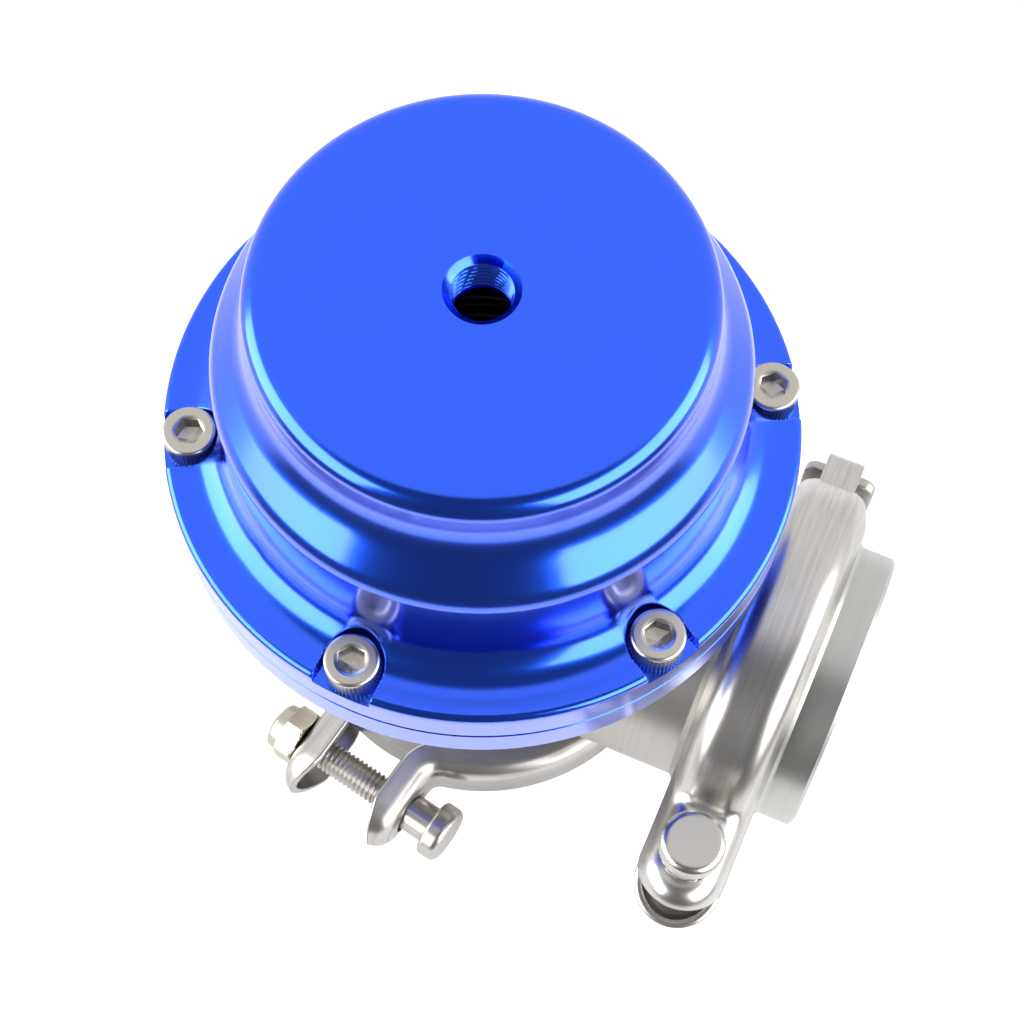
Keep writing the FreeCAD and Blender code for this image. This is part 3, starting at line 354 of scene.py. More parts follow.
def metal(name, colour, shade, gloss, marks, depth, centre=(0, 0, 0), turn=(0, 0, 0),
          rings=6000.0, fineness=900.0, stretch=0.06, metallic=1.0, coat=0.0, painted_reflection_streak=0.0):
    """A material: colour and its darker shade, gloss as (lowest, highest) roughness, and marks.

    The last argument is how far the marks also darken and lighten the colour: painted reflection, in
    streaks along the real lathe and polish lines."""
    material = bpy.data.materials.new(name)
    material.use_nodes = True
    tree = material.node_tree
    shader = tree.nodes["Principled BSDF"]
    shader.inputs["Metallic"].default_value = metallic
    shader.inputs["Coat Weight"].default_value = coat
    shader.inputs["Coat IOR"].default_value = 1.5
    shader.inputs["Coat Roughness"].default_value = 0.14
    vector = coordinate(tree, centre, turn, marks == "polished_strip")
    blotches = tree.nodes.new("ShaderNodeGroup")
    blotches.node_tree = patches
    tree.links.new(vector, blotches.inputs["Vector"])
    lines = tree.nodes.new("ShaderNodeGroup")
    if marks == "turned":
        lines.node_tree = lathe_marks
        lines.inputs["Rings"].default_value = rings
    else:
        lines.node_tree = scratches
        lines.inputs["Fineness"].default_value = fineness
        lines.inputs["Stretch"].default_value = stretch
    tree.links.new(vector, lines.inputs["Vector"])
    mix = tree.nodes.new("ShaderNodeMix")
    mix.data_type = "RGBA"
    mix.inputs["A"].default_value = (*colour, 1.0)
    mix.inputs["B"].default_value = (*shade, 1.0)
    # Painted reflection: the colour darkens and lightens in streaks along the marks.
    painted_reflection_streaks = ranged(tree, lines.outputs["Height"], -2.0 * painted_reflection_streak, 2.0 * painted_reflection_streak)
    wear = math_node(tree, "ADD", math_node(tree, "MULTIPLY", blotches.outputs["Patches"], 0.4),
                     math_node(tree, "MULTIPLY", blotches.outputs["Specks"], 0.3))
    tree.links.new(math_node(tree, "ADD", wear, painted_reflection_streaks), mix.inputs["Factor"])
    tree.links.new(mix.outputs["Result"], shader.inputs["Base Color"])
    blend = math_node(tree, "ADD", math_node(tree, "MULTIPLY", blotches.outputs["Patches"], 0.5),
                      math_node(tree, "MULTIPLY", lines.outputs["Height"], 0.5))
    tree.links.new(ranged(tree, blend, *gloss), shader.inputs["Roughness"])
    bump = tree.nodes.new("ShaderNodeBump")
    bump.inputs["Strength"].default_value = 1.0
    bump.inputs["Distance"].default_value = depth * MM
    tree.links.new(lines.outputs["Height"], bump.inputs["Height"])
    tree.links.new(bump.outputs[0], shader.inputs["Normal"])
    return material


OUTLET_CENTRE = (0.0, 0.0, 44.5 * MM)
ALONG_X = (0.0, math.pi / 2, 0.0)
# The body, barrel, flange and clamp steels get painted reflection in streaks along their marks.
finish = {
    "anodised_aluminium": metal("anodised_blue", (0.004, 0.105, 1.0), (0.003, 0.09, 0.88), (0.17, 0.27),
                                "turned", 0.0006, rings=3000.0, coat=1.0),
    "body_steel": metal("satin_body_steel", (0.48, 0.46, 0.43), (0.36, 0.35, 0.33), (0.28, 0.46),
                        "turned", 0.003, OUTLET_CENTRE, ALONG_X, rings=1600.0, painted_reflection_streak=0.3),
    "barrel_steel": metal("satin_barrel_steel", (0.48, 0.46, 0.43), (0.36, 0.35, 0.33), (0.28, 0.46),
                          "turned", 0.003, rings=1600.0, painted_reflection_streak=0.3),
    "flange_steel": metal("turned_flange_steel", (0.52, 0.52, 0.5), (0.4, 0.4, 0.39), (0.26, 0.44),
                          "turned", 0.003, OUTLET_CENTRE, ALONG_X, rings=1600.0, painted_reflection_streak=0.25),
    "clamp_steel": metal("polished_band_steel", (0.58, 0.56, 0.54), (0.36, 0.35, 0.34), (0.2, 0.4),
                         "polished_strip", 0.003, fineness=1500.0, stretch=0.04, painted_reflection_streak=0.6),
    "link_steel": metal("tumbled_link_steel", (0.5, 0.48, 0.45), (0.36, 0.34, 0.32), (0.26, 0.44),
                        "polished", 0.003, stretch=1.0),
    "bolt_steel": metal("polished_bolt_steel", (0.55, 0.53, 0.5), (0.4, 0.38, 0.36), (0.2, 0.38),
                        "polished", 0.0015, stretch=1.0),
    "nut_steel": metal("plated_nut_steel", (0.56, 0.53, 0.44), (0.42, 0.39, 0.33), (0.18, 0.34),
                       "polished", 0.001, stretch=1.0),
    "screw_steel": metal("plated_screw_steel", (0.56, 0.53, 0.47), (0.4, 0.37, 0.33), (0.2, 0.38),
                         "polished", 0.0015, stretch=1.0),
    "plain_aluminium": metal("turned_aluminium", (0.75, 0.76, 0.78), (0.65, 0.66, 0.68), (0.25, 0.4),
                             "turned", 0.003),
    "spring_steel": metal("drawn_spring_wire", (0.3, 0.3, 0.32), (0.2, 0.2, 0.21), (0.3, 0.45),
                          "polished", 0.002),
    "guide_bronze": metal("turned_bronze", (0.6, 0.38, 0.16), (0.45, 0.28, 0.12), (0.25, 0.4),
                          "turned", 0.003),
    "valve_steel": metal("ground_valve_steel", (0.5, 0.48, 0.46), (0.4, 0.38, 0.36), (0.22, 0.4),
                         "turned", 0.003),
    "gasket_fibre": metal("graphite_gasket", (0.09, 0.09, 0.095), (0.05, 0.05, 0.055), (0.6, 0.8),
                          "polished", 0.02, fineness=2500.0, stretch=1.0, metallic=0.0),
    "diaphragm_rubber": metal("fabric_rubber", (0.09, 0.03, 0.025), (0.06, 0.02, 0.018), (0.5, 0.7),
                              "polished", 0.02, fineness=2000.0, stretch=1.0, metallic=0.0),
    "seal_rubber": metal("black_rubber", (0.02, 0.02, 0.02), (0.03, 0.03, 0.03), (0.45, 0.6),
                         "polished", 0.01, stretch=1.0, metallic=0.0),
}
turned_upright = {"valve_body": "barrel_steel", "inlet_flange": "barrel_steel"}
for subpart in frame["record"]["subparts"]:
    mesh = nodes[subpart["node"]].data
    mesh.materials.clear()
    mesh.materials.append(finish[turned_upright.get(subpart["node"], subpart["material_slot"])])
print("materials", len(finish))

# %% [markdown]
# ## Floor, lamps and surroundings
# A mirror-like metal shows its surroundings, so these matter more than the lamps' brightness. The
# surroundings are white with a dark wedge in front, where the photographer stands, and a bright
# panel low at each side of it. The floor is a small white board that keeps the object's shadow. Its
# white, as the camera sees it, comes from the floor's own colour and not from more light.

# %% Floor and world
PICTURE_RIGHT, _, PICTURE_BACK = picture_axes(camera_azimuth, 0.0, 0.0)


def white_floor():
    """A round white board just below the object, small enough to leave the metal its white sides."""
    radius, depth, corners = 0.2, 0.2 * MM, 96
    mesh = bpy.data.meshes.new("floor")
    angles = full_turn(corners)
    rim = np.stack([radius * np.cos(angles), radius * np.sin(angles), np.full(corners, -depth)], -1)
    mesh.from_pydata(rim.tolist(), [], [list(range(corners))])
    floor = bpy.data.objects.new("floor", mesh)
    bpy.context.scene.collection.objects.link(floor)
    material = bpy.data.materials.new("white_floor")
    material.use_nodes = True
    tree = material.node_tree
    shader = tree.nodes["Principled BSDF"]
    shader.inputs["Base Color"].default_value = (0.8, 0.8, 0.8, 1.0)
    shader.inputs["Roughness"].default_value = 0.9
    shader.inputs["Specular IOR Level"].default_value = 0.0
    shader.inputs["Emission Color"].default_value = (1.0, 1.0, 1.0, 1.0)
    path = tree.nodes.new("ShaderNodeLightPath")
    seen = math_node(tree, "ADD", path.outputs["Is Camera Ray"], path.outputs["Is Transmission Ray"])
    shown = math_node(tree, "MINIMUM", seen, 1.0)
    tree.links.new(math_node(tree, "MULTIPLY", shown, 0.5), shader.inputs["Emission Strength"])
    mesh.materials.append(material)
    floor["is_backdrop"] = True
    return floor


def soft_world():
    """White all round, except for a dark wedge in front where the photographer stands.

    F is the cosine between a direction and the level way to the camera. The wedge starts where
    F passes 0.05 and is full where it passes 0.25. The camera itself sees plain white."""
    world = bpy.data.worlds.new("studio")
    world.use_nodes = True
    bpy.context.scene.world = world
    tree = world.node_tree
    background = tree.nodes["Background"]
    place = tree.nodes.new("ShaderNodeTexCoord")
    facing = tree.nodes.new("ShaderNodeVectorMath")
    facing.operation = "DOT_PRODUCT"
    facing.inputs[1].default_value = PICTURE_BACK
    tree.links.new(place.outputs["Generated"], facing.inputs[0])
    wedge = tree.nodes.new("ShaderNodeMapRange")
    wedge.interpolation_type = "SMOOTHSTEP"
    for socket, value in (("From Min", 0.05), ("From Max", 0.25), ("To Min", 1.0), ("To Max", 0.16)):
        wedge.inputs[socket].default_value = value
    tree.links.new(facing.outputs["Value"], wedge.inputs["Value"])
    path = tree.nodes.new("ShaderNodeLightPath")
    seen = math_node(tree, "ADD", path.outputs["Is Camera Ray"], path.outputs["Is Transmission Ray"])
    level = math_node(tree, "MAXIMUM", seen, wedge.outputs["Result"])
    tree.links.new(math_node(tree, "MINIMUM", level, 1.0), background.inputs["Strength"])
    background.inputs["Color"].default_value = (1.0, 1.0, 1.0, 1.0)


white_floor()
soft_world()

# %% Lamps at both sides of the photographer
def panel(name, bearing, elevation, distance, width, height, radiance):
    """A rectangular lamp that faces the object; bearing 0 is at the camera, 90 at the right.

    A lamp of power P and area A has a radiance of P / (pi A), so P = pi A times the radiance."""
    angle, rise = math.radians(bearing), math.radians(elevation)
    level = math.cos(angle) * PICTURE_BACK + math.sin(angle) * PICTURE_RIGHT
    toward = math.cos(rise) * level + np.array([0.0, 0.0, math.sin(rise)])
    data = bpy.data.lights.new(name, "AREA")
    data.shape = "RECTANGLE"
    data.size = width
    data.size_y = height
    data.energy = math.pi * width * height * radiance
    lamp = bpy.data.objects.new(name, data)
    side = unit(np.cross([0.0, 0.0, 1.0], toward))
    up = np.cross(toward, side)
    spot = np.array([0.0, 0.0, SEAM]) + toward * distance
    matrix = Matrix.Identity(4)
    for column, axis in enumerate((side, up, toward, spot)):
        for row in range(3):
            matrix[row][column] = axis[row]
    lamp.matrix_world = matrix
    bpy.context.scene.collection.objects.link(lamp)
    print(name, "power", round(data.energy, 2))


panel("left_panel", -75.0, 19.0, 0.7, 0.95, 0.6, 5.0)
panel("right_panel", 63.0, 19.0, 0.7, 1.05, 0.6, 5.0)
bpy.context.scene.view_settings.view_transform = "Standard"

# %% [markdown]
# ## Cap
# The cap is one turned dome with six open pockets milled into its rim, one for each screw. A
# plain turned grid can't follow a pocket's outline, and cutting the pockets with another solid
# leaves ragged edges. So each sixth of the rim is a grid of its own whose lines run along the
# pocket's outline: one direction follows the outline, the other goes from the pocket's floor up
# its wall, over a small round edge and out to the next sixth. The rest of the cap is one turned
# grid that uses the same angles, so that both share their edge.

# %% Cap: sizes
RIM_RADIUS = 50.5 * MM
RIM_HEIGHT = 7.7 * MM
RIM_ROUND = 1.2 * MM
WALL_RADIUS = 40.7 * MM
ROOT_ROUND = 6.5 * MM
POCKET_CIRCLE = 46.0 * MM
POCKET_RADIUS = 4.8 * MM
POCKET_FLOOR = 5.2 * MM
POCKET_EDGE = 0.25 * MM
FLOOR_FILLET = 0.4 * MM
SEAM_BEVEL = 0.3 * MM
CAP_SCREWS = 6
FIRST_SCREW = math.radians(28.5)
INNER_CIRCLE = WALL_RADIUS + 0.05 * MM


def rim_top(radius):
    """Height of the rim above the seam: the root's hollow round, a flat, and the rim's edge."""
    root_centre = WALL_RADIUS + ROOT_ROUND
    edge_centre = RIM_RADIUS - RIM_ROUND
    hollow = np.sqrt(np.maximum(ROOT_ROUND**2 - np.minimum(radius - root_centre, 0.0)**2, 0.0))
    edge = np.sqrt(np.maximum(RIM_ROUND**2 - np.maximum(radius - edge_centre, 0.0)**2, 0.0))
    return RIM_HEIGHT + ROOT_ROUND - hollow - RIM_ROUND + edge


def from_wall(radius):
    """Distance along the rim's top from the wall: R arccos((c - r) / R) on the hollow round."""
    across = (WALL_RADIUS + ROOT_ROUND - radius) / ROOT_ROUND
    return np.where(across > 0, np.arccos(np.clip(across, 0, 1)), math.pi / 2 - across) * ROOT_ROUND


def radius_at(distance):
    """The radius that lies a distance along the rim's top from the wall, from_wall's inverse."""
    turn = distance / ROOT_ROUND
    hollow = ROOT_ROUND * (1 - np.cos(np.minimum(turn, math.pi / 2)))
    return WALL_RADIUS + hollow + ROOT_ROUND * np.maximum(turn - math.pi / 2, 0)


def pocket_lines():
    """Half of a pocket's outline, from the open rim to its inner end, as polar arrays.

    Returns a function that gives the outline moved outwards by a distance, the line that each
    point heads for at the edge of the sector, and the share of the outline that is straight."""
    edge_turn = np.linspace(math.pi / 2, 0, 9)
    near_rim = RIM_RADIUS - RIM_ROUND + RIM_ROUND * np.sin(edge_turn)
    start = math.hypot(POCKET_CIRCLE, POCKET_RADIUS)
    straight = np.concatenate([near_rim, np.linspace(near_rim[-1], start, 7)[1:]])
    bend = np.linspace(0, math.pi / 2, 51)[1:]

    def moved(distance):
        wide = POCKET_RADIUS + distance
        flat = np.stack([np.sqrt(straight**2 - wide**2), np.full_like(straight, wide)], -1)
        curve = np.stack([POCKET_CIRCLE - wide * np.sin(bend), wide * np.cos(bend)], -1)
        return np.concatenate([flat, curve])

    return moved, straight, len(bend)


# %% Cap: one sixth of the rim
def half_sector():
    """Points of half a sector, as (row, column) grids, with the pocket's middle along +X.

    Rows go from the pocket's middle over its floor, up the wall, over the edge and out to the
    sector's end; columns go from the rim to the pocket's inner end. Beyond the edge a point is
    on the straight way, in polar coordinates, from the outline to the sector's border."""
    moved, straight, bends = pocket_lines()
    columns = len(straight) + bends
    outline = moved(0.0)
    middle = np.stack([np.concatenate([straight, np.full(bends, POCKET_CIRCLE)]),
                       np.zeros(columns)], -1)
    inset = moved(-FLOOR_FILLET)
    rows, heights = [], []
    for share in np.linspace(0, 1, 6):
        rows.append(middle + (inset - middle) * share)
        heights.append(np.full(columns, POCKET_FLOOR))
    for turn in np.linspace(0, math.pi / 2, 5)[1:]:
        rows.append(moved(-FLOOR_FILLET * (1 - math.sin(turn))))
        heights.append(np.full(columns, POCKET_FLOOR + FLOOR_FILLET * (1 - math.cos(turn))))
    crest = rim_top(np.linalg.norm(outline, axis=1))
    crest[0] = RIM_HEIGHT - RIM_ROUND
    for turn in np.linspace(0, math.pi / 2, 5):
        rows.append(moved(POCKET_EDGE * (1 - math.cos(turn))))
        here = rim_top(np.linalg.norm(rows[-1], axis=1))
        here[0] = RIM_HEIGHT - RIM_ROUND
        heights.append(here - POCKET_EDGE * (1 - math.sin(turn)))
    floor_rows = 9
    last = rows[-1]
    radius = np.linalg.norm(last, axis=1)
    angle = np.arctan2(last[:, 1], last[:, 0])
    border = math.pi / CAP_SCREWS
    fans = (0.01, 0.03, 0.08, 0.15, 0.23, 0.32, 0.42, 0.52, 0.63, 0.74, 0.86, 1.0)
    rim_angles = np.concatenate([np.arctan2(np.array(rows)[:, 0, 1], np.array(rows)[:, 0, 0]),
                                 angle[0] + (border - angle[0]) * np.array(fans)])
    shared = np.unique(np.round(rim_angles, 9))
    to_corner = columns - len(shared)
    inward = np.linspace(from_wall(straight[-1]), from_wall(INNER_CIRCLE), to_corner - len(straight) + 1)
    border_radius = np.concatenate([straight, radius_at(inward[1:]), np.full(len(shared), INNER_CIRCLE)])
    border_angle = np.concatenate([np.full(to_corner, border), shared[::-1]])
    for share in fans:
        far = radius_at(from_wall(radius) * (1 - share) + from_wall(border_radius) * share)
        around = angle + (border_angle - angle) * share
        rows.append(np.stack([far * np.cos(around), far * np.sin(around)], -1))
        top = rim_top(far)
        top[0] = RIM_HEIGHT - RIM_ROUND
        heights.append(top)
    plan = np.array(rows)
    grid = np.concatenate([plan, np.array(heights)[..., None]], -1)
    return grid, floor_rows, shared


# %% Cap: the turned part and the whole piece
CAP_HEIGHT = 47.65 * MM
NECK_RADIUS = 34.2 * MM
NECK_HEIGHT = 37.2 * MM
SHOULDER_HEIGHT = 28.9 * MM
PORT_RADIUS = 4.35 * MM
PORT_BEVEL = 1.3 * MM
CEILING = 40.15 * MM
CAVITY_RADIUS = 37.3 * MM
CAVITY_NECK = 30.8 * MM
CAVITY_DROP = 1.5 * MM
PORT_INNER_EDGE = 0.3 * MM
TOP_EDGE_ROUND = 3.2 * MM
NECK_ROOT_ROUND = 12.0 * MM
CAP_SHOULDER_ROUND = 6.0 * MM
THREAD_PITCH = 0.94 * MM
THREAD_DEPTH = 0.5 * MM


def thread_wave(phase):
    """A thread's form over one pitch: flat crest, slope, flat root and slope, from 0 to 1."""
    ramp = np.abs(2 * (phase - np.floor(phase)) - 1)
    return np.clip(1.5 * ramp - 0.25, 0.0, 1.0)


def threaded_port(angles):
    """The port's wall: a radius that ripples along the height and climbs a pitch in each turn."""
    low, high = CEILING + PORT_INNER_EDGE, CAP_HEIGHT - PORT_BEVEL
    height = np.linspace(low, high, 90)[:, None]
    fade = np.clip((height - low) / THREAD_PITCH, 0, 1)
    wave = thread_wave(height / THREAD_PITCH - angles / (2 * math.pi))
    radius = PORT_RADIUS + THREAD_DEPTH * fade * wave
    return np.stack([radius * np.cos(angles), radius * np.sin(angles),
                     np.broadcast_to(height, radius.shape)], -1)


def cap_grids():
    """All grids of the cap, with heights from the seam; the screw's direction is the sector's X."""
    half, floor_rows, shared = half_sector()
    steps = np.arange(CAP_SCREWS) * 2 * math.pi / CAP_SCREWS + FIRST_SCREW
    angles = np.unique(np.round(np.concatenate([
        (steps[:, None] + sign * shared).ravel() for sign in (-1, 1)]) % (2 * math.pi), 8))
    angles = angles[np.concatenate([[True], np.diff(angles) > 1e-5])]
    rim = half[:, 0]
    bearing = np.arctan2(rim[:, 1], rim[:, 0])
    wall_foot = POCKET_FLOOR + FLOOR_FILLET
    line = np.where(np.arange(len(rim)) <= floor_rows, rim[:, 2], wall_foot)
    levels = [(RIM_RADIUS, line), (RIM_RADIUS, np.full_like(line, 0.6 * POCKET_FLOOR)),
              (RIM_RADIUS, np.full_like(line, SEAM_BEVEL)),
              (RIM_RADIUS - SEAM_BEVEL, np.zeros_like(line))]
    skirt = np.stack([np.stack([radius * np.cos(bearing), radius * np.sin(bearing), height], -1)
                      for radius, height in levels])
    upper = rim[floor_rows + 1:]
    lower = upper.copy()
    lower[:, 2] = wall_foot
    grids = []
    for step in steps:
        turn = np.array([[math.cos(step), math.sin(step), 0], [-math.sin(step), math.cos(step), 0],
                         [0, 0, 1]])
        for side in (1, -1):
            flip = np.array([1, side, 1])
            for part in (half, skirt, np.stack([upper, lower])):
                grids.append(((part * flip) @ turn, False, False))
    inner = rounded_path([(RIM_RADIUS - SEAM_BEVEL, 0), (CAVITY_RADIUS, 0),
                          (CAVITY_RADIUS, SHOULDER_HEIGHT - CAVITY_DROP),
                          (CAVITY_NECK, NECK_HEIGHT - CAVITY_DROP), (CAVITY_NECK, CEILING),
                          (PORT_RADIUS, CEILING), (PORT_RADIUS, CEILING + PORT_INNER_EDGE)], {})
    mouth = PORT_RADIUS + PORT_BEVEL
    port = threaded_port(angles)
    outer = rounded_path([(mouth, CAP_HEIGHT), (NECK_RADIUS, CAP_HEIGHT), (NECK_RADIUS, NECK_HEIGHT),
                          (WALL_RADIUS, SHOULDER_HEIGHT), (WALL_RADIUS, RIM_HEIGHT + ROOT_ROUND)],
                         {1: TOP_EDGE_ROUND, 2: NECK_ROOT_ROUND, 3: CAP_SHOULDER_ROUND}, arc_steps=18)
    close = WALL_RADIUS + np.linspace(0, INNER_CIRCLE - WALL_RADIUS, 4)[1:]
    outer = np.concatenate([outer, np.stack([close, rim_top(close)], -1)])
    dome = np.concatenate([turned(inner, angles), port, turned(outer, angles)])
    grids.append((dome, False, True))
    return grids


raised = [(grid + [0, 0, SEAM], rows, columns) for grid, rows, columns in cap_grids()]
cap = make_piece("cap_shell", raised, finish["anodised_aluminium"], "housing")
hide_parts("top_cap")

# %% [markdown]
# ## Cap screws
# A socket head screw has a knurled side, so that fingers can turn it, and a six-sided recess with
# a bevel round its mouth. Its radius is a function of the angle and the place along the profile:
# round at the neck, six-sided in the recess and rippled on the knurled side.

# %% Cap screws
HEAD_RADIUS = 4.25 * MM
HEAD_HEIGHT = 5.0 * MM
SCREW_RADIUS = 2.5 * MM
SCREW_LENGTH = 12.0 * MM
KEY_WIDTH = 4.0 * MM
KEY_DEPTH = 3.0 * MM
KEY_MOUTH = 2.62 * MM
HEAD_ROUND = 0.55 * MM
KNURLS = 42
KNURL_DEPTH = 0.25 * MM
KNURL_TOP = 1.2 * MM
KNURL_FOOT = 0.35 * MM
POINT_BEVEL = 0.4 * MM


def hexagon_radius(width, angles):
    """Distance from the middle of a hexagon to its side: half the width over cos of the angle
    from the nearest flat's middle."""
    sixth = math.pi / 3
    return width / 2 / np.cos((angles + sixth / 2) % sixth - sixth / 2)


def socket_screw_grid():
    """A screw about Z with the underside of its head at 0, as rows of radius and height."""
    angles = full_turn(KNURLS * 5)
    even = np.ones_like(angles)
    key = hexagon_radius(KEY_WIDTH, angles)
    top = HEAD_HEIGHT
    floor = top - KEY_DEPTH
    rows = [(0 * even, floor - 0.5 * MM), (0.5 * key, floor - 0.25 * MM), (key, floor)]
    rows += [(key + 0.001 * MM, top - (KEY_MOUTH - key) * 0.5 - 0.04 * MM)]
    rows += [(KEY_MOUTH * even, top), ((KEY_MOUTH + 0.1 * MM) * even, top)]
    flat_edge = HEAD_RADIUS - HEAD_ROUND
    rows += [((flat_edge - 0.1 * MM) * even, top)]
    for turn in np.linspace(0, math.pi / 2, 6):
        rows.append(((flat_edge + HEAD_ROUND * math.sin(turn)) * even,
                     top - HEAD_ROUND * (1 - math.cos(turn))))
    ripple = 0.5 - 0.5 * np.cos(KNURLS * angles)
    rows += [(HEAD_RADIUS * even, top - KNURL_TOP + 0.3 * MM)]
    rows += [(HEAD_RADIUS - KNURL_DEPTH * ripple, height) for height in (top - KNURL_TOP, KNURL_FOOT)]
    rows += [((HEAD_RADIUS - 0.3 * MM) * even, 0.0), (SCREW_RADIUS * even, 0.0),
             (SCREW_RADIUS * even, -SCREW_LENGTH + POINT_BEVEL),
             ((SCREW_RADIUS - POINT_BEVEL) * even, -SCREW_LENGTH), (0 * even, -SCREW_LENGTH)]
    return np.stack([np.stack([radius * np.cos(angles), radius * np.sin(angles),
                               height * even], -1) for radius, height in rows])


def screw_grids(seat_height, circle, twist):
    screw = socket_screw_grid()
    grids = []
    for number in range(CAP_SCREWS):
        bearing = FIRST_SCREW + 2 * math.pi * number / CAP_SCREWS
        own = twist[number]
        turn = np.array([[math.cos(own), math.sin(own), 0], [-math.sin(own), math.cos(own), 0],
                         [0, 0, 1]])
        spot = [circle * math.cos(bearing), circle * math.sin(bearing), seat_height]
        grids.append((screw @ turn + spot, False, True))
    return grids


screw_twists = np.radians([12.0, 41.0, 5.0, 50.0, 24.0, 33.0])
cap_screws = make_piece("cap_screw_set", screw_grids(SEAM + POCKET_FLOOR, POCKET_CIRCLE, screw_twists),
                        finish["screw_steel"], "housing")
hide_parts("cap_screws")

# %% [markdown]
# ## Band clamps
# Each half of a clamp is one strip of sheet, pressed into a channel. The channel wraps the
# flanges, bends outwards into an ear near the gap, and closes round the ear's tip. So one half
# of the channel's section is carried along the whole line: out from the hinge to the ear's tip,
# round the tip through half a turn, and back. At the hinge the section is cut down to a narrow
# tab, which curls round the link. The tab and the channel are the same sheet, so the section is
# simply read only as far as the cut.

# %% Clamp halves: the channel's section and line
SHEET = 1.5 * MM
WEB_HALF = 5.6 * MM
LEG_DEPTH = 5.8 * MM
LEG_ANGLE = math.radians(20.0)
SHOULDER_ROUND = 4.2 * MM
TAB_HALF = 3.5 * MM
EAR_BEND = 2.6 * MM
TAB_BEND = 1.2 * MM
CURL_RADIUS = 3.7 * MM
CURL_START = math.radians(205.0)
BAR_PLACE = 6.9 * MM
BAR_LIFT = 2.6 * MM
BOLT_REACH = 42.0 * MM
LIP = WEB_HALF + LEG_DEPTH * math.tan(LEG_ANGLE)


def half_section():
    """Outer and inner line of half a channel, from the middle of its web to its lip.

    Each is (depth below the web's face, distance across), with the outer line's length. Web and
    leg meet in a round of radius R: as they turn by 90 degrees less the leg's angle, it starts
    R tan(turn / 2) before their corner. The inner line is the outer one moved in by the sheet."""
    turn = math.pi / 2 - LEG_ANGLE
    flat = WEB_HALF - SHOULDER_ROUND * math.tan(turn / 2)
    angle = np.linspace(0, turn, 9)
    arc = np.stack([np.cos(angle), np.sin(angle)], -1)
    centre = np.array([-SHOULDER_ROUND, flat])
    away = np.array([math.sin(LEG_ANGLE), math.cos(LEG_ANGLE)])
    web = np.linspace(0, 1, 7)[:-1, None]
    leg = np.linspace(0, 1, 7)[1:, None]
    lines = []
    for drop in (0.0, SHEET):
        start = np.array([-drop, 0.0])
        bend = centre + (SHOULDER_ROUND - drop) * arc
        end = np.array([-LEG_DEPTH, LIP]) - drop * away
        lines.append(np.concatenate([start + (bend[0] - start) * web, bend,
                                     bend[-1] + (end - bend[-1]) * leg]))
    step = np.linalg.norm(np.diff(lines[0], axis=0), axis=1)
    return lines[0], lines[1], np.concatenate([[0.0], np.cumsum(step)])


def arc_points(centre, radius, start, end, count):
    angle = np.linspace(start, end, count)
    out = np.stack([np.cos(angle), np.sin(angle)], -1)
    return np.asarray(centre) + radius * out, out


def strip_line(band, ear_face, ear_tip):
    """The outer line of a clamp half in its own plane: points, outward directions, and how far
    each point is from the hinge, as the angle about the pipe.

    Curl round the link's bar, straight down, hollow bend, the band's circle, hollow bend and
    the straight ear. A hollow bend of radius r touches a circle R where its centre is R + r from
    the pipe, so the centre's height is the root of (R + r)^2 less its distance across squared."""
    bar = np.array([BAR_PLACE, band + BAR_LIFT])
    curl, curl_out = arc_points(bar, CURL_RADIUS, CURL_START, 0.0, 26)
    tab_face = BAR_PLACE + CURL_RADIUS
    across = tab_face + TAB_BEND
    shoulder = np.array([across, math.sqrt((band + TAB_BEND)**2 - across**2)])
    first = math.atan2(shoulder[1], shoulder[0])
    tab, tab_out = arc_points(shoulder, TAB_BEND, math.pi, math.pi + first, 7)
    across = ear_face + EAR_BEND
    corner = np.array([across, -math.sqrt((band + EAR_BEND)**2 - across**2)])
    last = math.atan2(corner[1], corner[0])
    ring, ring_out = arc_points((0, 0), band, first, last, 62)
    bend, bend_out = arc_points(corner, EAR_BEND, last + math.pi, math.pi, 12)
    tip = np.array([[ear_face, -(ear_tip - LIP)]])
    straight = bend[-1] + (tip - bend[-1]) * np.array([0.06, 0.35, 0.65, 0.94, 1.0])[:, None]
    points = np.concatenate([curl, tab, ring[1:], bend[1:], straight])
    out = np.concatenate([curl_out, -tab_out, ring_out[1:], -bend_out[1:],
                          np.tile([1.0, 0.0], (5, 1))])
    from_hinge = math.pi / 2 - np.arctan2(points[:, 1], points[:, 0])
    from_hinge[:len(curl) + len(tab)] = 0.0
    return points, out, from_hinge


# %% Clamp halves: the swept strip
TAPER_START = math.radians(18.0)
TAPER_END = math.radians(38.0)
TIP_TRIM = 0.22


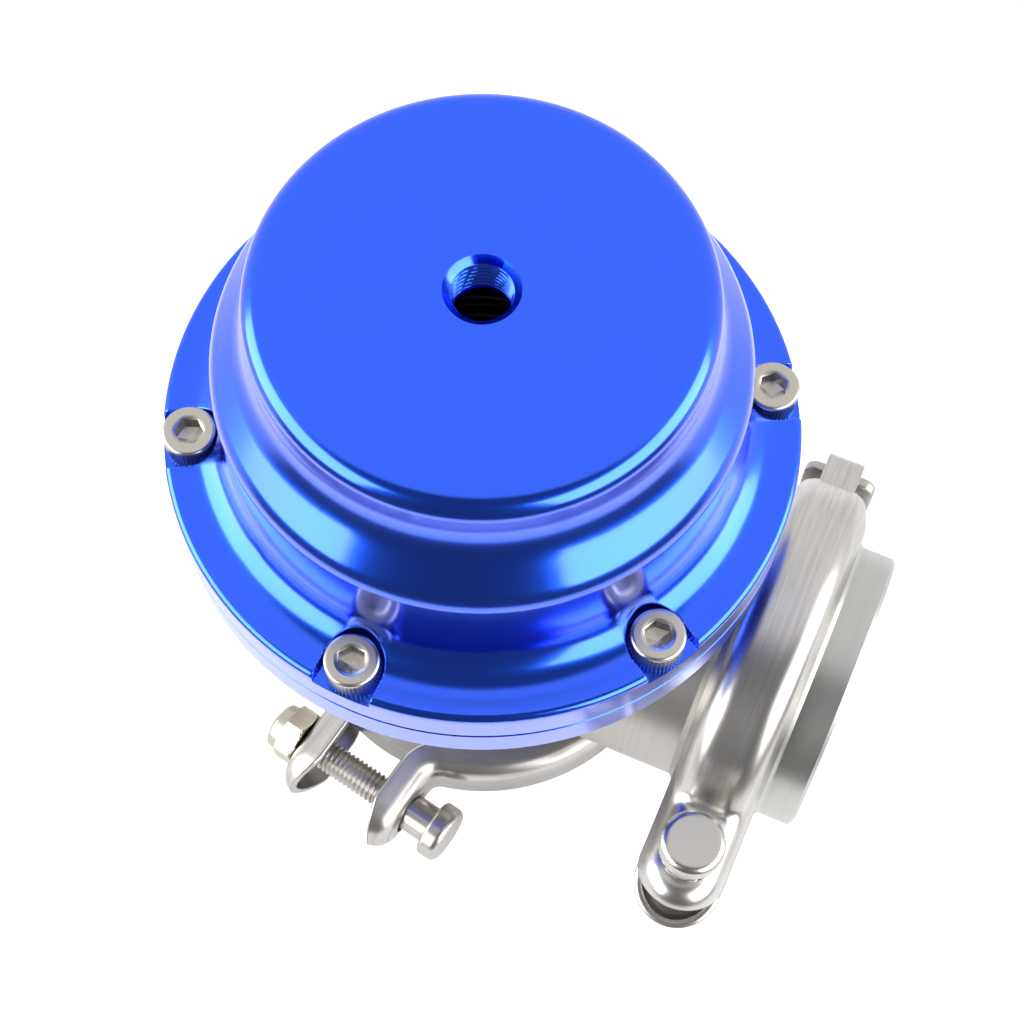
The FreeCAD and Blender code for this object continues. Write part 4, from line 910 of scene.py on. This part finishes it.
def clamp_half_grid(band, ear_face, ear_tip):
    """The closed skin of a clamp half, as rows along the strip and columns round half a section.

    A point is C + N u + V v: C is the outer line, N its outward direction, (u, v) the section,
    and V the way across. V is +Z on the way out, turns about the ear's tip, and is -Z on the way
    back. Where the strip is cut, the section is read up to a share of its length only, which
    falls to 1 - TIP_TRIM at the ear's tip."""
    outer, inner, length = half_section()
    points, out, from_hinge = strip_line(band, ear_face, ear_tip)
    tab_share = TAB_HALF / length[-1]
    rise = np.clip((from_hinge - TAPER_START) / (TAPER_END - TAPER_START), 0, 1)
    share = tab_share + (1 - tab_share) * np.sin(rise * math.pi / 2)**0.7
    turn = np.linspace(0, math.pi, 19)[1:-1]
    back = slice(None, None, -1)
    centre = np.concatenate([points, np.tile(points[-1], (len(turn), 1)), points[back]])
    normal = np.concatenate([out, np.tile(out[-1], (len(turn), 1)), out[back]])
    share = np.concatenate([share, 1 - TIP_TRIM * np.sin(turn), share[back]])
    swing = np.concatenate([np.zeros(len(points)), turn, np.full(len(points), math.pi)])
    read = np.linspace(0, 1, 34)[None] * share[:, None] * length[-1]
    skins = [np.stack([np.interp(read, length, line[:, axis]) for axis in (0, 1)], -1)
             for line in (outer, inner)]
    edge_middle = (skins[0][:, -1] + skins[1][:, -1]) / 2
    edge_half = (skins[0][:, -1] - skins[1][:, -1]) / 2
    onward = skins[0][:, -1] - skins[0][:, -2]
    onward /= np.linalg.norm(onward, axis=1, keepdims=True)
    angle = np.linspace(math.pi / 2, -math.pi / 2, 9)[1:-1, None, None]
    bulge = 0.45 * MM
    pull = edge_middle - onward * bulge
    rim = pull + edge_half * np.sin(angle) + onward * bulge * np.cos(angle)
    rim = np.moveaxis(rim, 0, 1)
    skins[0][:, -1] -= onward * bulge
    skins[1][:, -1] -= onward * bulge
    section = np.concatenate([skins[0], rim, skins[1][:, back]], axis=1)
    flat = np.concatenate([centre, np.zeros((len(centre), 1))], 1)[:, None]
    outward = np.concatenate([normal, np.zeros((len(normal), 1))], 1)[:, None]
    across = np.stack([np.zeros_like(swing), -np.sin(swing), np.cos(swing)], -1)[:, None]
    grid = flat + outward * section[..., :1] + across * section[..., 1:]
    along = np.concatenate([[0.0], np.cumsum(np.linalg.norm(np.diff(centre, axis=0), axis=1))])
    return grid, along, section[..., 1]


def end_cap(edge):
    """Rings that close the flat end of a strip: its outline, a smaller one, and the middle."""
    middle = edge.mean(axis=0)
    return np.stack([middle + (edge - middle) * share for share in (1.0, 0.7, 0.0)])


def half_grids(band, ear_face, ear_tip):
    """The strip and its end at the hinge, with the strip's own coordinates for both."""
    grid, along, across = clamp_half_grid(band, ear_face, ear_tip)
    end = end_cap(np.concatenate([grid[0], grid[-1][::-1]]))
    strip = np.stack([np.broadcast_to(along[:, None], across.shape), across], -1)
    return [(grid, False, False), (end, False, True)], [strip, np.zeros((*end.shape[:2], 2))]


# %% Clamp halves: pieces
class ClampPlace:
    """Where a clamp sits: the pipe's middle, three axes, the band's radius, the ears' gap and tip.

    X is across the gap, Y points from the bolt to the hinge and Z is along the pipe."""

    def __init__(self, prefix, origin, axes, band, gap, ear_tip):
        self.prefix = prefix
        self.origin = np.array(origin)
        self.axes = np.array(axes)
        self.band = band
        self.ear_tip = ear_tip
        self.ear_face = gap / 2 + EAR_DEPTH

    def put(self, grid, swap=False):
        """Points from the clamp's own axes to the object's; swap turns them half round Y."""
        turn = np.diag([-1.0, 1.0, -1.0]) if swap else np.eye(3)
        return placed(grid @ turn, self.origin, self.axes)


EAR_DEPTH = 6.2 * MM
inlet_angle, outlet_angle = math.radians(-11.0), math.radians(3.0)
clamp_places = [
    ClampPlace("inlet", (0, 0, 14.5 * MM),
               [(math.cos(inlet_angle), math.sin(inlet_angle), 0),
                (-math.sin(inlet_angle), math.cos(inlet_angle), 0), (0, 0, 1)],
               36.6 * MM, 12.0 * MM, 52.5 * MM),
    ClampPlace("outlet", (55.2 * MM, 0, 44.5 * MM),
               [(0, math.sin(outlet_angle), math.cos(outlet_angle)),
                (0, math.cos(outlet_angle), -math.sin(outlet_angle)), (-1, 0, 0)],
               34.0 * MM, 6.0 * MM, 51.3 * MM),
]
body_of = {node: body for body, members in frame["record"]["behaviour"]["bodies"].items()
           for node in members}


def drill(piece, centre, axis, radius, length):
    """Cut a round hole through a piece with a cylinder that is deleted afterwards.

    The manifold solver is used, because the exact one left the cylinder's wall in some ears."""
    side = unit(np.cross(axis, [0.3, 0.5, 0.8]))
    other = np.cross(axis, side)
    angle = full_turn(64)[:, None]
    ring = np.cos(angle) * side + np.sin(angle) * other
    mesh = bpy.data.meshes.new("drill")
    ends = [centre + ring * radius + axis * way * length / 2 for way in (-1, 1)]
    count = len(ring)
    sides = grid_faces(2, count, False, True).tolist()
    mesh.from_pydata(np.concatenate(ends).tolist(), [],
                     sides + [list(range(count)), list(range(count, 2 * count))[::-1]])
    shape = bmesh.new()
    shape.from_mesh(mesh)
    bmesh.ops.recalc_face_normals(shape, faces=shape.faces)
    shape.to_mesh(mesh)
    shape.free()
    tool = bpy.data.objects.new("drill", mesh)
    bpy.context.scene.collection.objects.link(tool)
    cut = piece.modifiers.new("hole", "BOOLEAN")
    cut.operation = "DIFFERENCE"
    cut.solver = "MANIFOLD"
    cut.object = tool
    graph = bpy.context.evaluated_depsgraph_get()
    result = bpy.data.meshes.new_from_object(piece.evaluated_get(graph))
    piece.modifiers.clear()
    piece.data = result
    bpy.data.objects.remove(tool)
    result.shade_smooth()
    result.set_sharp_from_angle(angle=math.radians(38))
    print("drilled", piece.name, open_edge_count(result), "open edges")


for place in clamp_places:
    for side, swap, hole in (("head", False, 4.4 * MM), ("nut", True, 3.3 * MM)):
        node = f"{place.prefix}_clamp_{side}_half"
        grids, strips = half_grids(place.band, place.ear_face, place.ear_tip)
        half = make_piece(f"{node}_strip", [(place.put(grid, swap), *loops) for grid, *loops in grids],
                          finish["clamp_steel"], body_of[node], strips=strips)
        sign = -1 if swap else 1
        spot = place.put(np.array([sign * place.ear_face, -BOLT_REACH, 0.0]))
        drill(half, spot, place.axes[0], hole, 8.0 * MM)
        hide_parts(node)

# %% [markdown]
# ## Hinge links
# The link is a flat ring with a window, stamped from bar and tumbled smooth. Its section is a
# superellipse: a circle whose cosine and sine are raised to a power below one bulges towards its
# box, and gives a bar with soft corners.

# %% Hinge links
LINK_BAR_PLACE = 6.9 * MM
LINK_BAR = 3.2 * MM
LINK_THICKNESS = 2.4 * MM
LINK_HALF_WIDTH = 6.7 * MM
LINK_WINDOW = 3.8 * MM
LINK_CORNER = 2.4 * MM
SECTION_POWER = 0.55


def rounded_rectangle(half_x, half_z, radius, arc_steps=8):
    """Outline of a rectangle with round corners: four quarter arcs joined by straight lines."""
    angle = np.linspace(0, math.pi / 2, arc_steps + 1)
    arcs = []
    for number, (x_side, z_side) in enumerate(((1, 1), (-1, 1), (-1, -1), (1, -1))):
        here = angle + number * math.pi / 2
        centre = np.array([x_side * (half_x - radius), z_side * (half_z - radius)])
        arcs.append(centre + radius * np.stack([np.cos(here), np.sin(here)], -1))
    return np.concatenate(arcs)


def superellipse(angles, power):
    cosine, sine = np.cos(angles), np.sin(angles)
    return np.sign(cosine) * abs(cosine)**power, np.sign(sine) * abs(sine)**power


def link_grid():
    """Between an outer and an inner outline, a section that is a superellipse in width and depth."""
    outer = rounded_rectangle(LINK_BAR_PLACE + LINK_BAR / 2, LINK_HALF_WIDTH, LINK_CORNER)
    inner = rounded_rectangle(LINK_BAR_PLACE - LINK_BAR / 2, LINK_WINDOW, 0.3 * MM)
    wide, deep = superellipse(full_turn(32), SECTION_POWER)
    middle, half = (outer + inner) / 2, (outer - inner) / 2
    plan = middle[:, None] + half[:, None] * wide[:, None]
    height = np.broadcast_to(deep * LINK_THICKNESS / 2, plan.shape[:2])
    return np.stack([plan[..., 0], height, plan[..., 1]], -1)


for place in clamp_places:
    node = f"{place.prefix}_clamp_link"
    ring = place.put(link_grid() + [0, place.band + BAR_LIFT, 0])
    link = make_piece(f"{node}_ring", [(ring, True, True)],
                      finish["link_steel"], body_of[node])
    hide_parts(node)

# %% [markdown]
# ## Bolts and nuts
# A bolt is turned, and only its thread is not: there the radius also depends on the angle, so
# that the ridge climbs one pitch in each turn. A lock nut starts as a six-sided bar whose corners
# are turned down to a cone at the end, so its radius is the smaller of a hexagon's and a cone's.

# %% Bolts
BOLT_RADIUS = 3.0 * MM
BOLT_HEAD_RADIUS = 5.5 * MM
BOLT_HEAD = 4.0 * MM
BOLT_ROUND = 1.4 * MM
STANDOFF = 4.8 * MM
BOLT_TIP = 0.6 * MM
BOLT_PITCH = 1.0 * MM
BOLT_THREAD = 0.45 * MM
SMOOTH_SHANK = 2.2 * MM
NECK_RADIUS = 3.6 * MM
NECK_START = 0.5 * MM
NECK_STEP = 0.4 * MM
NUT_HEIGHT = 4.2 * MM
NUT_COLLAR = 2.2 * MM
NUT_COLLAR_RADIUS = 4.7 * MM
NUT_WIDTH = 10.0 * MM
NUT_FACE_GAP = 0.1 * MM


def along_bolt(profile_radius, place):
    """Points at places along the bolt's axis X, whose radius may differ from angle to angle."""
    angles = full_turn(profile_radius.shape[1])
    x = np.broadcast_to(np.asarray(place)[:, None], profile_radius.shape)
    return np.stack([x, profile_radius * np.cos(angles), profile_radius * np.sin(angles)], -1)


def bolt_grid(ear_face):
    """A bolt along X, from its tip through the thread to its head, as seen from the ears' middle."""
    count = 48
    seat = ear_face + STANDOFF
    tip = seat - (STANDOFF + 2 * ear_face + NUT_HEIGHT + NUT_COLLAR + BOLT_TIP)
    last = ear_face - SHEET - SMOOTH_SHANK
    thread = np.arange(tip + BOLT_TIP, last, BOLT_PITCH / 9)[:, None]
    angles = full_turn(count)
    wave = thread_wave(thread / BOLT_PITCH - angles / (2 * math.pi))
    fade = np.clip((last - thread) / BOLT_PITCH, 0, 1)
    threaded = BOLT_RADIUS - BOLT_THREAD * (1 - wave) * fade
    neck = ear_face - SHEET - NECK_START
    head = rounded_path([(seat, NECK_RADIUS), (seat, BOLT_HEAD_RADIUS),
                         (seat + BOLT_HEAD, BOLT_HEAD_RADIUS), (seat + BOLT_HEAD, 0.0)],
                        {1: BOLT_ROUND / 2, 2: BOLT_ROUND})
    plain = np.array([(last, BOLT_RADIUS), (neck, BOLT_RADIUS), (neck + NECK_STEP, NECK_RADIUS),
                      (seat - 0.1 * MM, NECK_RADIUS)])
    start = np.array([(tip, 0.0), (tip, BOLT_RADIUS - BOLT_TIP)])
    parts = [(start[:, 0], np.repeat(start[:, 1:], count, 1)), (thread[:, 0], threaded),
             (plain[:, 0], np.repeat(plain[:, 1:], count, 1)),
             (head[:, 0], np.repeat(head[:, 1:], count, 1))]
    return along_bolt(np.concatenate([radius for _, radius in parts]),
                      np.concatenate([where for where, _ in parts]))


def nut_grid(ear_face):
    """A lock nut along X: bore, seat, hexagon cut by a cone at each end, and a domed collar."""
    count = 96
    angles = full_turn(count)
    even = np.ones(count)
    hexagon = hexagon_radius(NUT_WIDTH, angles)
    face = -(ear_face + NUT_FACE_GAP)
    steep = math.tan(math.radians(60))
    bore = BOLT_RADIUS + 0.05 * MM
    rows = [(face - NUT_HEIGHT - NUT_COLLAR, bore * even), (face, bore * even)]
    flat = NUT_WIDTH / 2 - 0.05 * MM
    rows += [(face, (flat - 0.1 * MM) * even)]
    for depth in (0.0, 0.15 * MM, 0.3 * MM, 0.45 * MM, 0.6 * MM):
        rows.append((face - depth, np.minimum(hexagon, flat + depth * steep)))
    for depth in (0.6 * MM, 0.45 * MM, 0.3 * MM, 0.15 * MM, 0.0):
        rows.append((face - NUT_HEIGHT + depth, np.minimum(hexagon, flat + depth * steep)))
    end = face - NUT_HEIGHT - NUT_COLLAR
    dome = rounded_path([(face - NUT_HEIGHT, NUT_COLLAR_RADIUS), (end, NUT_COLLAR_RADIUS - 0.4 * MM),
                         (end, bore)], {1: 0.9 * MM})
    rows += [(x, radius * even) for x, radius in dome]
    return along_bolt(np.stack([radius for _, radius in rows]), np.array([x for x, _ in rows]))


for place in clamp_places:
    for part, grid in (("bolt", bolt_grid(place.ear_face)), ("nut", nut_grid(place.ear_face))):
        node = f"{place.prefix}_clamp_{part}"
        steel = f"{part}_steel"
        piece = make_piece(f"{node}_turned", [(place.put(grid - [0, BOLT_REACH, 0]), False, True)],
                           finish[steel], body_of[node])
        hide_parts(node)

# %% [markdown]
# ## Springs
# Both springs are hidden under the cap, and a wire wound into a coil is a round section carried up
# a screw line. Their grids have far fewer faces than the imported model's springs.

# %% Springs
SPRING_FLOOR = 94.5 * MM
SPRING_CEILING = 132.65 * MM


def coil_grid(mean_radius, wire_radius, turns):
    """At angle t the section's middle is at height p t / (2 pi), where p is the pitch.

    A point of the section is (R + r cos a) from the axis and r sin a above the middle."""
    low, high = SPRING_FLOOR + wire_radius, SPRING_CEILING - wire_radius
    angle = np.linspace(0, 2 * math.pi * turns, int(turns * 60) + 1)[:, None]
    section = full_turn(20)
    radius = mean_radius + wire_radius * np.cos(section)
    height = low + (high - low) * angle / angle[-1] + wire_radius * np.sin(section)
    return np.stack([radius * np.cos(angle), radius * np.sin(angle), height], -1)


for node, mean_radius, wire_radius, turns in (("spring_outer", 24.0 * MM, 1.6 * MM, 5),
                                              ("spring_inner", 16.0 * MM, 1.3 * MM, 6)):
    coil = coil_grid(mean_radius, wire_radius, turns)
    ends = [end_cap(coil[0]), end_cap(coil[-1])]
    grids = [(coil, False, True)] + [(end, False, True) for end in ends]
    spring = make_piece(f"{node}_coil", grids, finish["spring_steel"], body_of[node])
    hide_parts(node)

# %% [markdown]
# The new pieces must stay inside the imported model's box. Both boxes, the imported model's and
# the new pieces', are gathered in one table.

# %% Both boxes
boxes = {"cad": cad_bounds, "visual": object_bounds()}
({name: [[float(value) for value in point] for point in box]
           for name, box in boxes.items()})
